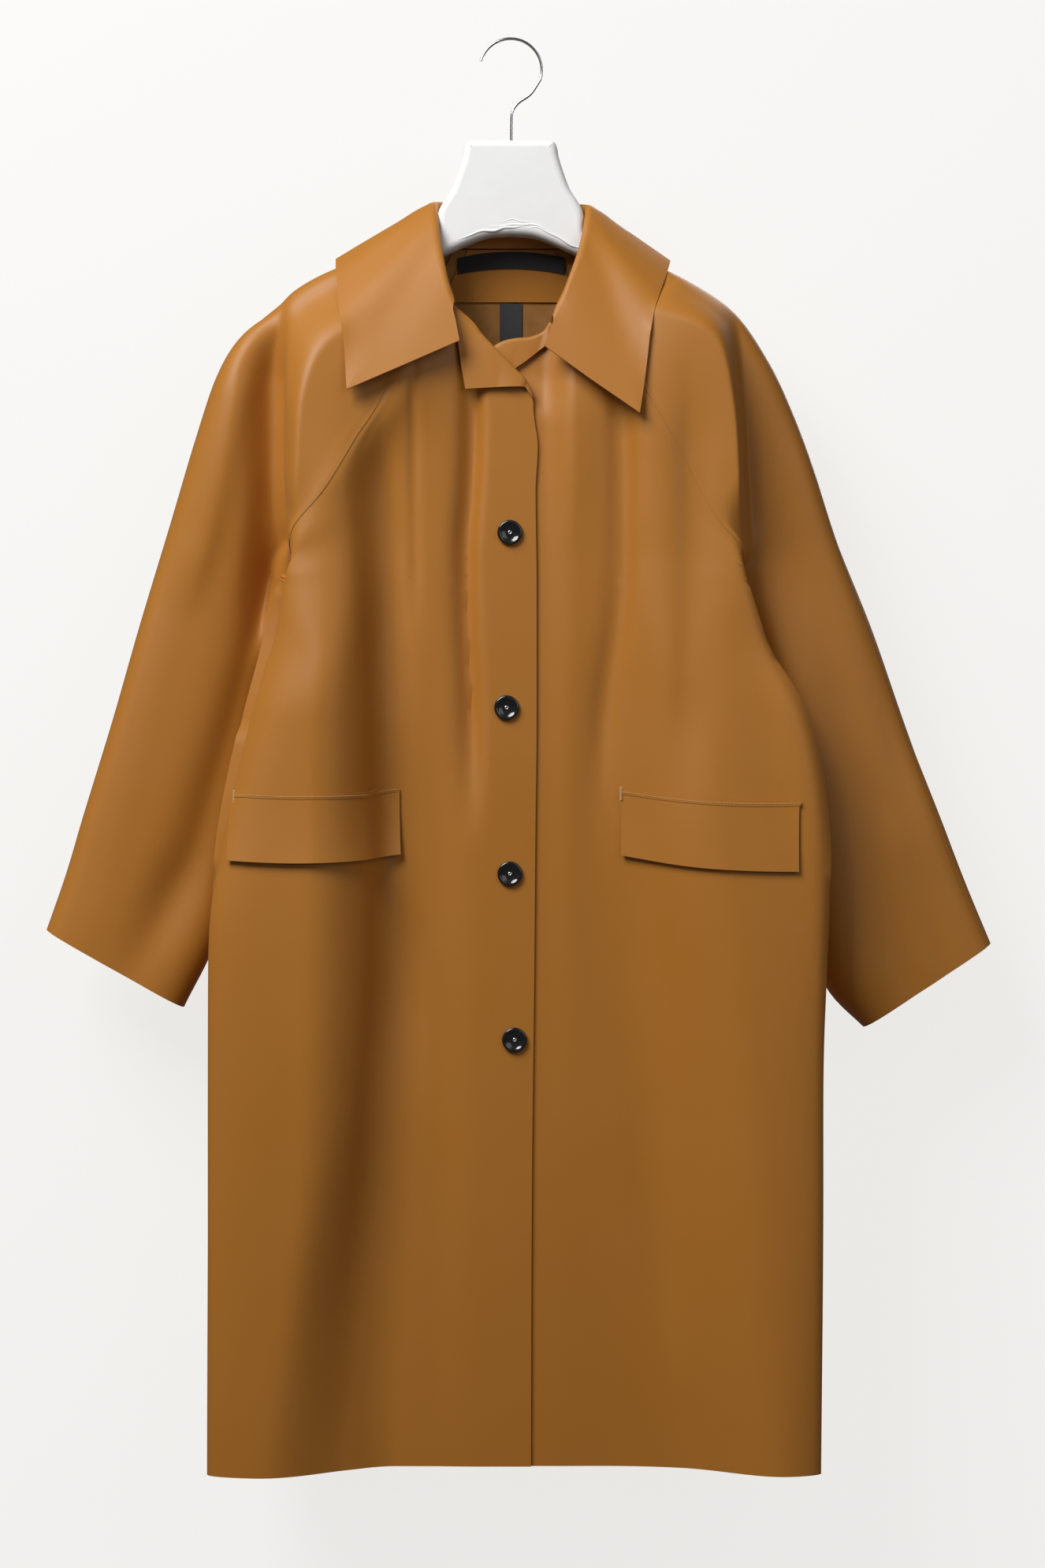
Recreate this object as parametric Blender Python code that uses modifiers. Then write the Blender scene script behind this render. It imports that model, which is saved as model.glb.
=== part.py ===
"""A raglan rubber coat, buttoned, hanging flat on a hanger.

Sizes in the tables are millimetres, and MM turns them into metres. X runs to
the wearer's left, the front faces -Y and Z is up. The origin is where the
hook rests on its rod. Every cloth piece is a loft between sections: its outer
face is worked out first, on one common surface, and the wall goes inwards.
"""

import math

import bmesh
import bpy
import numpy as np

MM = 0.001
WALL = 1.6  # rubberised cotton, with its backing
SEAM = 0.2  # each piece stops this far short of the seam line
LAY = 0.35  # between a piece and what it lies on
FACET_CLEAR = 0.7  # more, where two curved walls have their facets in other places

HEM_Z = -1257.0
ARMPIT_Z = -490.0
LOWER_LEVELS = (-515, -545, *np.linspace(-600, HEM_Z, 10))
SIDES = {"right": -1, "left": 1}  # the wearer's, with the sign of X

FRONT_COLUMNS, BACK_COLUMNS, SLEEVE_COLUMNS = 15, 8, 12
OVERARM_COLUMN = 2  # the overarm seam lies this far round to the front
FOLD_STEPS, LAPEL_STEPS = 4, 3

# Front of the body from the front edge to the side seam, in plan. Above the
# armpit the seam is the raglan seam. |x| grows outwards, y is negative.
# z: front edge, middle, flank of the fold, its crest, outline, seam
FRONT_RIGHT = (
    (-200, (14, -35), (-20, -35), (-42, -34), (-54, -32), (-63, -30), (-70, -27)),
    (-245, (14, -40), (-30, -42), (-55, -45), (-69, -46), (-78, -46), (-85, -44)),
    (-290, (14, -44), (-40, -46), (-70, -52), (-86, -56), (-95, -57), (-103, -57)),
    (-327, (20, -45), (-55, -48), (-85, -54), (-102, -61), (-110, -63), (-117, -63)),
    (-366, (24, -45), (-62, -47), (-100, -53), (-122, -65), (-134, -69), (-142, -69)),
    (-407, (23, -45), (-68, -46), (-112, -52), (-140, -68), (-157, -74), (-168, -72)),
    (-450, (23, -45), (-70, -45), (-118, -51), (-152, -73), (-184, -77), (-195, -60)),
    (-490, (23, -45), (-72, -44), (-119, -51), (-160, -78), (-202, -62), (-190, -6)),
    (-545, (23, -45), (-72, -43), (-116, -51), (-165, -84), (-219, -63), (-196, -2)),
    (-600, (23, -45), (-70, -42), (-110, -51), (-172, -90), (-234, -65), (-205, 0)),
    (-700, (22, -45), (-70, -40), (-108, -51), (-182, -98), (-255, -67), (-220, 2)),
    (-820, (21, -45), (-74, -38), (-116, -51), (-192, -104), (-262, -69), (-240, 2)),
    (-1000, (19, -45), (-90, -36), (-136, -50), (-206, -110), (-262, -71), (-250, 2)),
    (-1257, (18, -45), (-107, -33), (-150, -48), (-226, -112), (-262, -73), (-250, 0)),
)
FRONT_LEFT = (
    (-200, (-26, -35), (20, -35), (42, -34), (54, -32), (63, -30), (70, -27)),
    (-245, (-26, -40), (34, -42), (60, -45), (72, -46), (80, -46), (87, -44)),
    (-290, (-26, -44), (50, -50), (75, -53), (92, -56), (100, -57), (107, -56)),
    (-342, (-26, -45), (56, -55), (90, -52), (118, -63), (127, -64), (135, -63)),
    (-383, (-26, -45), (56, -54), (90, -51), (128, -65), (150, -66), (160, -65)),
    (-431, (-26, -45), (54, -51), (88, -50), (138, -68), (172, -68), (187, -66)),
    (-460, (-26, -45), (52, -49), (86, -49), (145, -70), (194, -70), (202, -52)),
    (-490, (-26, -45), (50, -48), (84, -48), (150, -72), (206, -62), (190, -6)),
    (-545, (-26, -45), (50, -47), (80, -46), (158, -74), (222, -63), (198, -2)),
    (-600, (-26, -45), (48, -46), (77, -44), (165, -78), (244, -64), (210, 0)),
    (-700, (-26, -45), (46, -45), (74, -42), (180, -84), (264, -64), (228, 2)),
    (-820, (-26, -45), (50, -44), (88, -40), (196, -88), (270, -62), (246, 2)),
    (-1000, (-26, -45), (60, -42), (108, -38), (214, -93), (271, -60), (254, 2)),
    (-1257, (-26, -45), (80, -36), (150, -40), (238, -98), (269, -58), (255, 0)),
)
# Back of the body from the centre back seam to the side or raglan seam.
# z: centre back, middle, outer corner, seam; |x|, the same on both sides
BACK = (
    (-180, (0, 23), (28, 23), (42, 21), (50, 19)),
    (-215, (0, 30), (36, 30), (58, 30), (68, 28)),
    (-245, (0, 34), (44, 35), (72, 35), (82, 33)),
    (-290, (0, 38), (55, 39), (92, 40), (103, 38)),
    (-342, (0, 41), (66, 42), (112, 43), (127, 41)),
    (-407, (0, 43), (84, 45), (150, 46), (171, 43)),
    (-455, (0, 44), (92, 46), (172, 44), (197, 34)),
    (-490, (0, 45), (96, 47), (172, 42), (190, -6)),
    (-600, (0, 47), (100, 49), (178, 46), (206, 0)),
    (-820, (0, 50), (110, 52), (204, 50), (242, 2)),
    (-1257, (0, 50), (116, 52), (216, 52), (252, 0)),
)

# Rows of a front above the armpit. Each starts on the neckline, the turned-out
# lapel's fold or the front edge, and ends on the raglan seam. The lapel's cut
# edge lies at (edge_x, edge_z), and turn is how far it is folded, in degrees.
# start_x, start_z, seam_z, edge_x, edge_z, turn
TOP_RIGHT = (
    (-68, -208.2, -205, None, None, 0),
    (-63, -221, -230, None, None, 0),
    (-57.5, -234, -260, None, None, 0),
    (-50.5, -244, -285, None, None, 0),
    (-47, -248, -295, -46, -277, 180),
    (-40, -255, -312, -43, -297, 180),
    (-30, -266, -333, -39.5, -316, 180),
    (-18, -278.5, -352, -25, -315.3, 180),
    (-7, -290, -369, -11, -314.6, 180),
    (4, -301.5, -384, 1, -314, 172),
    (13.5, -311.5, -398, 10, -316.5, 130),
    (19, -324, -411, 15.5, -327, 66),
    (22.5, -338, -424, 20.5, -340, 24),
    (24, -356, -436, None, None, 0),
    (24, -398, -451, None, None, 0),
    (23.5, -443, -468, None, None, 0),
)
TOP_LEFT = (
    (68, -208, -205, None, None, 0),
    (60, -226, -228, None, None, 0),
    (48, -244, -251, None, None, 0),
    (36, -257, -273, None, None, 0),
    (33.5, -260.5, -284, 30.5, -277.5, 180),
    (28, -267, -297, 24, -282, 180),
    (17, -271.5, -318, 14, -290, 180),
    (6, -272.5, -338, 1.5, -298.5, 180),
    (-6, -275, -357, -9, -297, 176),
    (-16, -281, -375, -18, -295, 168),
    (-23, -289, -392, -23.5, -295, 140),
    (-25.5, -301, -408, -25.3, -304, 60),
    (-26, -318, -424, None, None, 0),
    (-26, -352, -437, None, None, 0),
    (-26, -396, -452, None, None, 0),
    (-26, -442, -469, None, None, 0),
)
# How far the left front's face lies behind the right one's at the lap.
# z, gap
LAP_GAP = ((-240, 10.0), (-300, 9.6), (-345, 2.6), (-1257, 2.6))
LAP_HALF_WIDTH, LAP_EASE_RIGHT, LAP_EASE_LEFT = 27, 40, 30
BACK_SEAM_RISE, BACK_SEAM_TOP, BACK_SEAM_EASE = 23, -205, 100

# Sleeves: the overarm seam's point, the inner point, the level of the front
# and the back between them, and where the front steps up to the body's fold:
# the step's middle and half its width. Above the armpit the inner point is
# the raglan seam at in_z; below, it is the underarm seam.
# out_x, out_y, out_z, in_x, in_y, in_z, front_y, back_y, step_x, soft
SLEEVE_RIGHT = (
    (-78, 0, -178, None, None, -205, -17, 16, -73, 3),
    (-130, 0, -194, None, None, -245, -22, 20, -103, 18),
    (-178, 0, -214.5, None, None, -290, -26, 24, -133, 28),
    (-210, 0, -237, None, None, -327, -29, 27, -156, 32),
    (-238, 0, -262.5, None, None, -366, -31, 30, -185, 29),
    (-260, 2, -301, None, None, -407, -30, 32, -204, 26),
    (-280, 4, -356, None, None, -450, -26, 34, -216, 22),
    (-303, 6, -431, -190, -6, -490, -21, 36, -206, 23),
    (-328, 8, -512, -215, 8, -560, -18, 36, -222, 11),
    (-355, 8, -606, -235, 8, -650, -18, 36, -240, 10),
    (-382, 8, -694, -252, 8, -740, -17, 35, -256, 8),
    (-395, 8, -738, -262, 8, -798, -16, 33, -266, 8),
    (-413, 8, -790, -291, 8, -859, -15, 31, -295, 7),
)
SLEEVE_LEFT = (
    (78, 0, -180, None, None, -205, -17, 16, 73, 3),
    (118, 0, -196, None, None, -245, -22, 20, 99, 11),
    (158, 0, -215, None, None, -290, -26, 24, 138, 15),
    (200, 0, -244.5, None, None, -342, -28, 28, 184, 16),
    (226, 2, -281, None, None, -383, -27, 30, 199, 13),
    (250, 4, -330, None, None, -431, -24, 32, 205, 13),
    (268, 5, -376, None, None, -460, -22, 34, 208, 14),
    (290, 6, -440, 190, -6, -490, -20, 36, 202, 18),
    (322, 8, -520, 218, 8, -560, -18, 36, 223, 8),
    (352, 8, -606, 240, 8, -650, -18, 36, 245, 7),
    (384, 8, -694, 258, 8, -740, -17, 35, 262, 8),
    (403, 8, -744, 273, 8, -806, -16, 33, 277, 8),
    (427, 8, -802, 320, 8, -872, -15, 31, 323, 6),
)
SLEEVE_ROUND = 2.6  # exponent of the sleeve's rounded section
SLEEVE_ROUND_SHARE = 0.35  # of its width, on each side
BACK_STEP, BACK_SOFT = 0.6, 0.4
OVERARM_SHARE, EDGE_SHARE = 0.09, 0.025  # where the second and first columns lie
CLOSING_Z = -420  # from here to the armpit the sleeve closes into a tube
ARMPIT_ROW = 7  # the row of both sleeve tables at the armpit
LOWER_SLEEVE_ROWS = 9

# Collar, from the front end to the centre back: the roll's top, the leaf's
# edge, and which way the stand faces, in degrees round from +X.
# roll_x, roll_y, roll_z, edge_x, edge_y, edge_z, facing
COLLAR_RIGHT = (
    (-50, -53, -242.5, -44, -62, -276, 262),
    (-56, -44, -219, -90, -68, -297, 250),
    (-61, -31, -192, -141.5, -74, -320, 230),
    (-65, -16, -166, -147, -48, -262, 205),
    (-68, 2, -146, -152, 0, -198, 175),
    (-50, 21, -142, -96, 44, -222, 125),
    (0, 26, -141, 0, 56, -226, 90),
)
COLLAR_LEFT = (
    (38, -53, -254, 29, -60, -280, 278),
    (49, -44, -226, 68, -66, -309, 290),
    (60, -31, -194, 112, -72, -340, 310),
    (66, -16, -168, 124, -46, -272, 335),
    (69, 2, -149, 138, 0, -201, 365),
    (50, 21, -143, 92, 44, -222, 415),
    (0, 26, -141, 0, 56, -226, 450),
)
SHOULDER_STATION = 4  # the leaf's edge is straight in front of it and round behind
ROLL_RADIUS = 3.6
ROLL_ANGLES = (0, 45, 90, 135, 175)
ROLL_LENGTH, ROLL_ROWS = 3.2, 6  # of cloth that bends, in radii, and its rows
STAND_CLEAR = 0.6
LEAF_SPRING = 2.0  # how far the leaf stands off a straight line
COLLAR_STATION_COLUMNS = 4
LEAF_ROW, LEAF_CLEAR, LEAF_END_CLEAR = 6, 3.7, 5.0  # the ends also clear the lapels
LAPEL_RADIUS, LAPEL_SPRING = 1.6, 0.05

# Pocket flaps: where their top corners and their depth lie on the front.
# in_x, in_z, out_x, out_z, inner depth, outer depth
FLAPS = {
    "right": (-95, -664.5, -243.5, -668, 58, 59),
    "left": (97, -666, 248.5, -676.5, 57, 60),
}
FLAP_SAG, FLAP_LIFT = 4, 2.6  # the top edge's dip, and how far the free edge stands off
FLAP_ROWS, FLAP_COLUMNS = 4, 11

FACING_IN, FACING_TOP, FACING_BOTTOM, FACING_WALL = 12, -182.5, -228, 1.0
LABEL_HALF_WIDTH, LABEL_X, LABEL_TOP, LABEL_BOTTOM, LABEL_WALL = 48, 0.5, -183.5, -198.5, 0.8
TAPE_HALF_WIDTH, TAPE_TOP, TAPE_WALL = 10, -229, 0.6
TRIM_CLEAR = 0.2

# Buttons on the lap of the right front.
# x, z
BUTTONS = ((-0.5, -441), (-3.3, -594), (-0.5, -739), (3.6, -884))
# A button's half section from its dished middle over the rim to its back.
# radius, height
BUTTON_PROFILE = (
    (0.0, 1.5),
    (3.2, 1.5),
    (7.0, 2.2),
    (8.4, 3.4),
    (9.9, 3.3),
    (11.0, 2.0),
    (10.2, 0.4),
    (7.5, 0.0),
    (0.0, 0.0),
)
BUTTON_SIDES, BUTTON_SEAT = 18, 8

# Hanger: its neck on one side, and its arched lower edge out to the tip; |x|, z
HANGER_NECK = ((34, -90), (39, -92), (42, -97), (50, -122), (58, -150), (66, -172), (78, -186))
HANGER_ARCH = ((150, -236), (105, -212), (60, -192), (25, -177))
HANGER_MIDDLE_Z, HANGER_TOP_Z = -174, -90
HANGER_TIP = ((3, -14), (-8, -22))  # from the shoulder's end to the lower edge; outwards, up
HANGER_UNDER, SHOULDER_POINTS = 1.2, 8
HANGER_HALF_DEPTH, HANGER_ROUND = 10.5, 6.5

# The hook's bow is an arc about a centre below the origin, and its tail runs
# from the bow's end down to the stem.
HOOK_WIRE, HOOK_INNER_RADIUS = 1.3, 26.4
HOOK_FIRST, HOOK_LAST, HOOK_POINTS = 163, -18, 22  # degrees
HOOK_TAIL = ((17.5, -48), (5.5, -57), (1.4, -64), (0.7, -76))
HOOK_TAIL_SHARES = (0, 0.3, 0.6, 0.8, 1)
HOOK_TAIL_POINTS = 8

SHARP = math.radians(50)
COLOURS = {
    "coat_rubber": ((0.42, 0.20, 0.065), 0.55, 0.0),
    "label_black": ((0.02, 0.02, 0.022), 0.7, 0.0),
    "tape_grey": ((0.05, 0.05, 0.055), 0.8, 0.0),
    "button_black": ((0.01, 0.01, 0.011), 0.2, 0.0),
    "hanger_white": ((0.85, 0.85, 0.84), 0.5, 0.0),
    "hook_chrome": ((0.75, 0.76, 0.78), 0.15, 1.0),
}


# ---------------------------------------------------------------- curves

def glide(at, xs, ys):
    """Values at `at` on a smooth curve through the rows of ys, with no overshoot."""
    xs, ys = np.asarray(xs, float), np.asarray(ys, float)
    if xs[0] > xs[-1]:
        xs, ys = xs[::-1], ys[::-1]
    step = np.diff(xs)[:, None]
    slope = np.diff(ys, axis=0) / step
    inner = (slope[1:] * step[:-1] + slope[:-1] * step[1:]) / (step[1:] + step[:-1])
    inner[slope[1:] * slope[:-1] <= 0] = 0
    tangent = np.vstack([slope[:1], inner, slope[-1:]])
    at = np.atleast_1d(np.asarray(at, float))
    k = np.clip(np.searchsorted(xs, at) - 1, 0, len(xs) - 2)
    t = np.clip((at - xs[k]) / step[k, 0], 0, 1)[:, None]
    a, b, width = ys[k], ys[k + 1], step[k]
    return (
        a * (1 + 2 * t) * (1 - t) ** 2
        + b * t * t * (3 - 2 * t)
        + tangent[k] * width * t * (1 - t) ** 2
        - tangent[k + 1] * width * t * t * (1 - t)
    )


def length_along(points):
    return np.concatenate([[0], np.cumsum(np.linalg.norm(np.diff(points, axis=0), axis=1))])


def drawn(points, samples=81):
    """A dense smooth curve through the points, and its length at each sample."""
    chord = length_along(points)
    curve = glide(np.linspace(0, chord[-1], samples), chord, points)
    return curve, length_along(curve)


def along(points, shares, samples=81):
    """Points at these shares of the length of the smooth curve through `points`."""
    curve, run = drawn(points, samples)
    return np.stack([np.interp(shares, run / run[-1], curve[:, i]) for i in range(3)], axis=-1)


def ease(t):
    t = np.clip(t, 0, 1)
    return t * t * (3 - 2 * t)


def unit(v):
    return v / np.maximum(np.linalg.norm(v, axis=-1, keepdims=True), 1e-9)


# ---------------------------------------------------------------- body

def table_values(table, z):
    """The table's points at height z, as rows of x, y, z."""
    flat = [[value for point in row[1:] for value in point] for row in table]
    pairs = glide(z, [row[0] for row in table], flat)[0].reshape(-1, 2)
    return np.column_stack([pairs, np.full(len(pairs), z)])


def lap_gap(z):
    return glide(z, [row[0] for row in LAP_GAP], [[row[1]] for row in LAP_GAP])[0, 0]


def front_section(side, z):
    """The front's smooth plan curve at height z, and its length run."""
    curve, _ = drawn(table_values(FRONT_RIGHT if side == "right" else FRONT_LEFT, z))
    lap = table_values(FRONT_RIGHT, z)[0, 1]
    if side == "right":  # the lap is flat, and the front comes forward beside it
        beside = ease((-LAP_HALF_WIDTH - curve[:, 0]) / LAP_EASE_RIGHT)
    else:
        lap += lap_gap(z)
        beside = ease((curve[:, 0] - LAP_HALF_WIDTH) / LAP_EASE_LEFT)
    curve[:, 1] = lap + (curve[:, 1] - lap) * beside
    return curve, length_along(curve)


def on_section(section, share):
    curve, run = section
    return np.array([np.interp(share * run[-1], run, curve[:, i]) for i in range(3)])


def share_at(section, x):
    """The share of the section's length where it first reaches x."""
    curve, run = section
    outward = np.maximum.accumulate(np.abs(curve[:, 0] - curve[0, 0]))
    return np.interp(abs(x - curve[0, 0]), outward, run) / run[-1]


def raglan_point(side, z):
    return on_section(front_section(side, z), 1.0)


def lapel_row(start, edge_x, edge_z, turn):
    """Points from the cut edge back to the fold at `start`, which it leaves out."""
    flat = np.array([edge_x - start[0], 0, edge_z - start[2]])
    reach = np.linalg.norm(flat)
    out, front = -flat / reach, np.array([0, -1, 0])
    radius = min(LAPEL_RADIUS, reach / 4)
    points = []
    for share in np.linspace(0, 1, FOLD_STEPS + 1)[1:]:
        angle = math.radians(turn * share)
        points.append(start + radius * (out * math.sin(angle) + front * (1 - math.cos(angle))))
    ahead = out * math.cos(math.radians(turn)) + front * math.sin(math.radians(turn))
    lift = front * LAPEL_SPRING * reach
    for share in np.linspace(0, 1, LAPEL_STEPS + 1)[1:]:
        points.append(points[FOLD_STEPS - 1] + (ahead * reach + lift) * share)
    return points[::-1]


def front_panel(side):
    """The front's grid: rows from the neck to the hem, columns outwards."""
    shares = np.linspace(0, 1, FRONT_COLUMNS)
    rows = []
    for x, z, seam_z, edge_x, edge_z, turn in TOP_RIGHT if side == "right" else TOP_LEFT:
        first = share_at(front_section(side, z), x)
        row = []
        for share in shares:
            level = z + (seam_z - z) * share
            row.append(on_section(front_section(side, level), first + (1 - first) * share))
        if edge_x is None:
            lapel = [row[0]] * (FOLD_STEPS + LAPEL_STEPS)
        else:
            lapel = lapel_row(row[0], edge_x, edge_z, turn)
        rows.append(lapel + row)
    for z in [ARMPIT_Z, *LOWER_LEVELS]:
        section = front_section(side, z)
        row = [on_section(section, share) for share in shares]
        rows.append([row[0]] * (FOLD_STEPS + LAPEL_STEPS) + row)
    return np.array(rows)


def back_section(side, z):
    points = table_values(BACK, z)
    points[:, 0] *= SIDES[side]
    if z < ARMPIT_Z:
        points[-1] = table_values(FRONT_RIGHT if side == "right" else FRONT_LEFT, z)[-1]
    curve, run = drawn(points)
    return curve, run


def back_seam_z(front_z):
    """The back raglan seam starts higher on the neck than the front one."""
    return front_z + BACK_SEAM_RISE * (1 - ease((BACK_SEAM_TOP - front_z) / BACK_SEAM_EASE))


def back_panel(side):
    shares = np.linspace(0, 1, BACK_COLUMNS)
    upper = [back_seam_z(row[2]) for row in (TOP_RIGHT if side == "right" else TOP_LEFT)]
    rows = []
    for z in [*upper, ARMPIT_Z, *LOWER_LEVELS]:
        section = back_section(side, z)
        rows.append([on_section(section, share) for share in shares])
    return np.array(rows)


# ---------------------------------------------------------------- sleeves

def refined(table):
    """The sleeve's rows down to the armpit, one for each of the front's, and the rows below it."""
    filled = []
    side = "right" if table[0][0] < 0 else "left"
    for row in table:
        row = list(row)
        if row[3] is None:
            row[3], row[4] = raglan_point(side, row[5])[:2]
        filled.append(row)
    filled = np.array(filled, float)
    seam = [row[2] for row in (TOP_RIGHT if side == "right" else TOP_LEFT)] + [ARMPIT_Z]
    upper = glide(seam, filled[: ARMPIT_ROW + 1, 5], filled[: ARMPIT_ROW + 1])
    run = length_along(filled[:, :3])
    lower_run = np.linspace(run[ARMPIT_ROW], run[-1], LOWER_SLEEVE_ROWS + 1)[1:]
    return upper, glide(lower_run, run, filled)


def rounded(share):
    """How far a rounded edge has risen at this share of the width from it."""
    left = 1 - np.minimum(share / SLEEVE_ROUND_SHARE, 1)
    return (1 - left**SLEEVE_ROUND) ** (1 / SLEEVE_ROUND)


def sleeve_row(side, face, row, closed):
    """One row of a sleeve's front or back, from the overarm seam inwards."""
    out, inner = row[:3].copy(), row[3:6].copy()
    level = row[6 if face == "front" else 7]
    if closed < 1:
        inner = (
            raglan_point(side, row[5])
            if face == "front"
            else on_section(back_section(side, back_seam_z(row[5])), 1.0)
        )
    even = np.linspace(0, 1, SLEEVE_COLUMNS)
    share = 0.55 * (1 - np.cos(math.pi * even)) / 2 + 0.45 * even
    share[OVERARM_COLUMN] = OVERARM_SHARE
    share[1] = EDGE_SHARE
    share[-2] = 1 - EDGE_SHARE
    rise = rounded(share)
    fall = 1 - rounded(1 - share)
    step, soft = BACK_STEP, BACK_SOFT
    if face == "front":
        step, soft = (row[8] - out[0]) / (inner[0] - out[0]), row[9] / abs(inner[0] - out[0])
    stepped = ease((share - step) / (2 * soft) + 0.5)
    stepped = (stepped - stepped[0]) / (stepped[-1] - stepped[0])
    change = closed * fall + (1 - closed) * stepped
    points = out + (inner - out) * share[:, None]
    points[:, 1] = out[1] + (level - out[1]) * rise + (inner[1] - level) * change
    return points


def sleeve_face(side, face):
    upper, lower = refined(SLEEVE_RIGHT if side == "right" else SLEEVE_LEFT)
    rows = []
    for index, row in enumerate(upper):
        closed = ease((CLOSING_Z - row[5]) / (CLOSING_Z - ARMPIT_Z)) if index < len(upper) - 1 else 1
        rows.append(sleeve_row(side, face, row, closed))
    rows += [sleeve_row(side, face, row, 1) for row in lower]
    return np.array(rows)


def sleeve_panels(side):
    """The front and the back of a sleeve, parted at the overarm seam."""
    front, back = sleeve_face(side, "front"), sleeve_face(side, "back")
    turned = front[:, OVERARM_COLUMN:0:-1]
    return front[:, OVERARM_COLUMN:], np.concatenate([turned, back], axis=1)


# ---------------------------------------------------------------- collar

def neckline(side, panels):
    """The neckline's outer points from the front end to the centre back."""
    front = panels["front_" + side][:4, FOLD_STEPS + LAPEL_STEPS][::-1]
    over = panels["sleeve_front_" + side][0][::-1]
    behind = panels["sleeve_back_" + side][0]
    back = panels["back_" + side][0][::-1]
    return np.concatenate([front, over, behind[1:], back[1:]])


def collar_half(side, panels):
    """Columns from the front end to the centre back, each from the seam over the roll to the edge."""
    table = np.array(COLLAR_RIGHT if side == "right" else COLLAR_LEFT, float)
    stations = np.arange(len(table))
    seam = neckline(side, panels)
    run = length_along(seam)
    where = np.linspace(0, len(table) - 1, (len(table) - 1) * COLLAR_STATION_COLUMNS + 1)
    rolls = glide(where, stations, table[:, [0, 1, 2, 6]])
    straight = np.stack([np.interp(where, stations, table[:, i]) for i in (3, 4, 5)], axis=-1)
    curved = glide(where, stations[SHOULDER_STATION:], table[SHOULDER_STATION:, 3:6])
    edges = np.where(where[:, None] <= SHOULDER_STATION, straight, curved)
    roll_run = length_along(rolls[:, :3])
    columns = []
    for roll, edge, share in zip(rolls, edges, roll_run / roll_run[-1]):
        base = np.array([np.interp(share * run[-1], run, seam[:, i]) for i in range(3)])
        facing = math.radians(roll[3])
        out = np.array([math.cos(facing), math.sin(facing), 0])
        up = unit(roll[:3] - base)
        height = np.linalg.norm(roll[:3] - base)
        radius = min(ROLL_RADIUS, height / 2.2)
        base = base + up * min(STAND_CLEAR, height / 4)
        centre = roll[:3] - up * radius + out * radius * 0.2
        bend = [
            centre + radius * (-out * math.cos(a) + up * math.sin(a))
            for a in np.radians(ROLL_ANGLES)
        ]
        leaf_mid = bend[-1] * 0.45 + edge * 0.55 + out * LEAF_SPRING
        column = [base, (base + bend[0]) / 2, *bend, leaf_mid, edge]
        columns.append(along(column, collar_shares(height, edge, roll)))
    return np.array(columns)


def rest_leaf(collar, sheets, normals):
    """The leaf's points moved off the cloth under them, along its outward direction."""
    cloth = np.concatenate([points for points, _ in sheets])
    outward = np.array([normals[key_of(point)] for point in cloth])
    ends = np.minimum(np.arange(collar.shape[1]), np.arange(collar.shape[1])[::-1])
    clear = LEAF_CLEAR + LEAF_END_CLEAR * (1 - ease(ends / (1.5 * COLLAR_STATION_COLUMNS)))
    for row in range(LEAF_ROW, len(collar)):
        for point, least in zip(collar[row], clear):
            gap = np.linalg.norm(cloth - point, axis=1)
            near = np.argsort(gap)[:6]
            weight = 1 / (gap[near] + 2) ** 2
            weight = (weight / weight.sum())[:, None]
            away = unit((outward[near] * weight).sum(axis=0))
            height = np.dot(point - (cloth[near] * weight).sum(axis=0), away)
            point += away * max(least - height, 0)
    return collar


def collar_shares(height, edge, roll):
    """Where the rows lie on a column: close together round the roll."""
    leaf = np.linalg.norm(edge - roll[:3])
    whole = height + leaf
    bend = min(ROLL_RADIUS * ROLL_LENGTH, whole * 0.4)
    start = max(height - bend / 2, height * 0.3) / whole
    end = min(start + bend / whole, 0.9)
    leaf_shares = end + (1 - end) * np.array([0.3, 0.65, 1.0])
    return np.concatenate([[0, start * 0.5], np.linspace(start, end, ROLL_ROWS), leaf_shares])


# ---------------------------------------------------------------- meshes

def key_of(point):
    return tuple(np.round(point, 2) + 0.0)


def facing_out(grid, towards):
    """The grid with its columns turned round where its faces look the other way."""
    a, b = grid[-1, -1] - grid[0, 0], grid[-1, 0] - grid[0, -1]
    return grid if np.dot(np.cross(b, a), towards) > 0 else grid[:, ::-1]


def sheet_of(grid):
    """Points and faces of a grid, with points in one place made one and flat faces dropped."""
    points, index, faces = [], {}, []
    number = np.empty(grid.shape[:2], int)
    for spot in np.ndindex(*grid.shape[:2]):
        key = key_of(grid[spot])
        if key not in index:
            index[key] = len(points)
            points.append(grid[spot])
        number[spot] = index[key]
    for i in range(grid.shape[0] - 1):
        for j in range(grid.shape[1] - 1):
            corners = [number[i, j], number[i + 1, j], number[i + 1, j + 1], number[i, j + 1]]
            corners = [c for n, c in enumerate(corners) if c != corners[n - 1]]
            if len(set(corners)) >= 3:
                faces.append(corners)
    return np.array(points), faces


def face_normal(points, face):
    corners = points[face]
    return np.cross(corners[2] - corners[0], corners[-1] - corners[1])


def common_normals(sheets):
    """The outward direction at each place, shared by the pieces that meet there."""
    total = {}
    for points, faces in sheets:
        for face in faces:
            normal = face_normal(points, face)
            for corner in face:
                key = key_of(points[corner])
                total[key] = total.get(key, 0) + normal
    return {key: unit(value) for key, value in total.items()}


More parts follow.
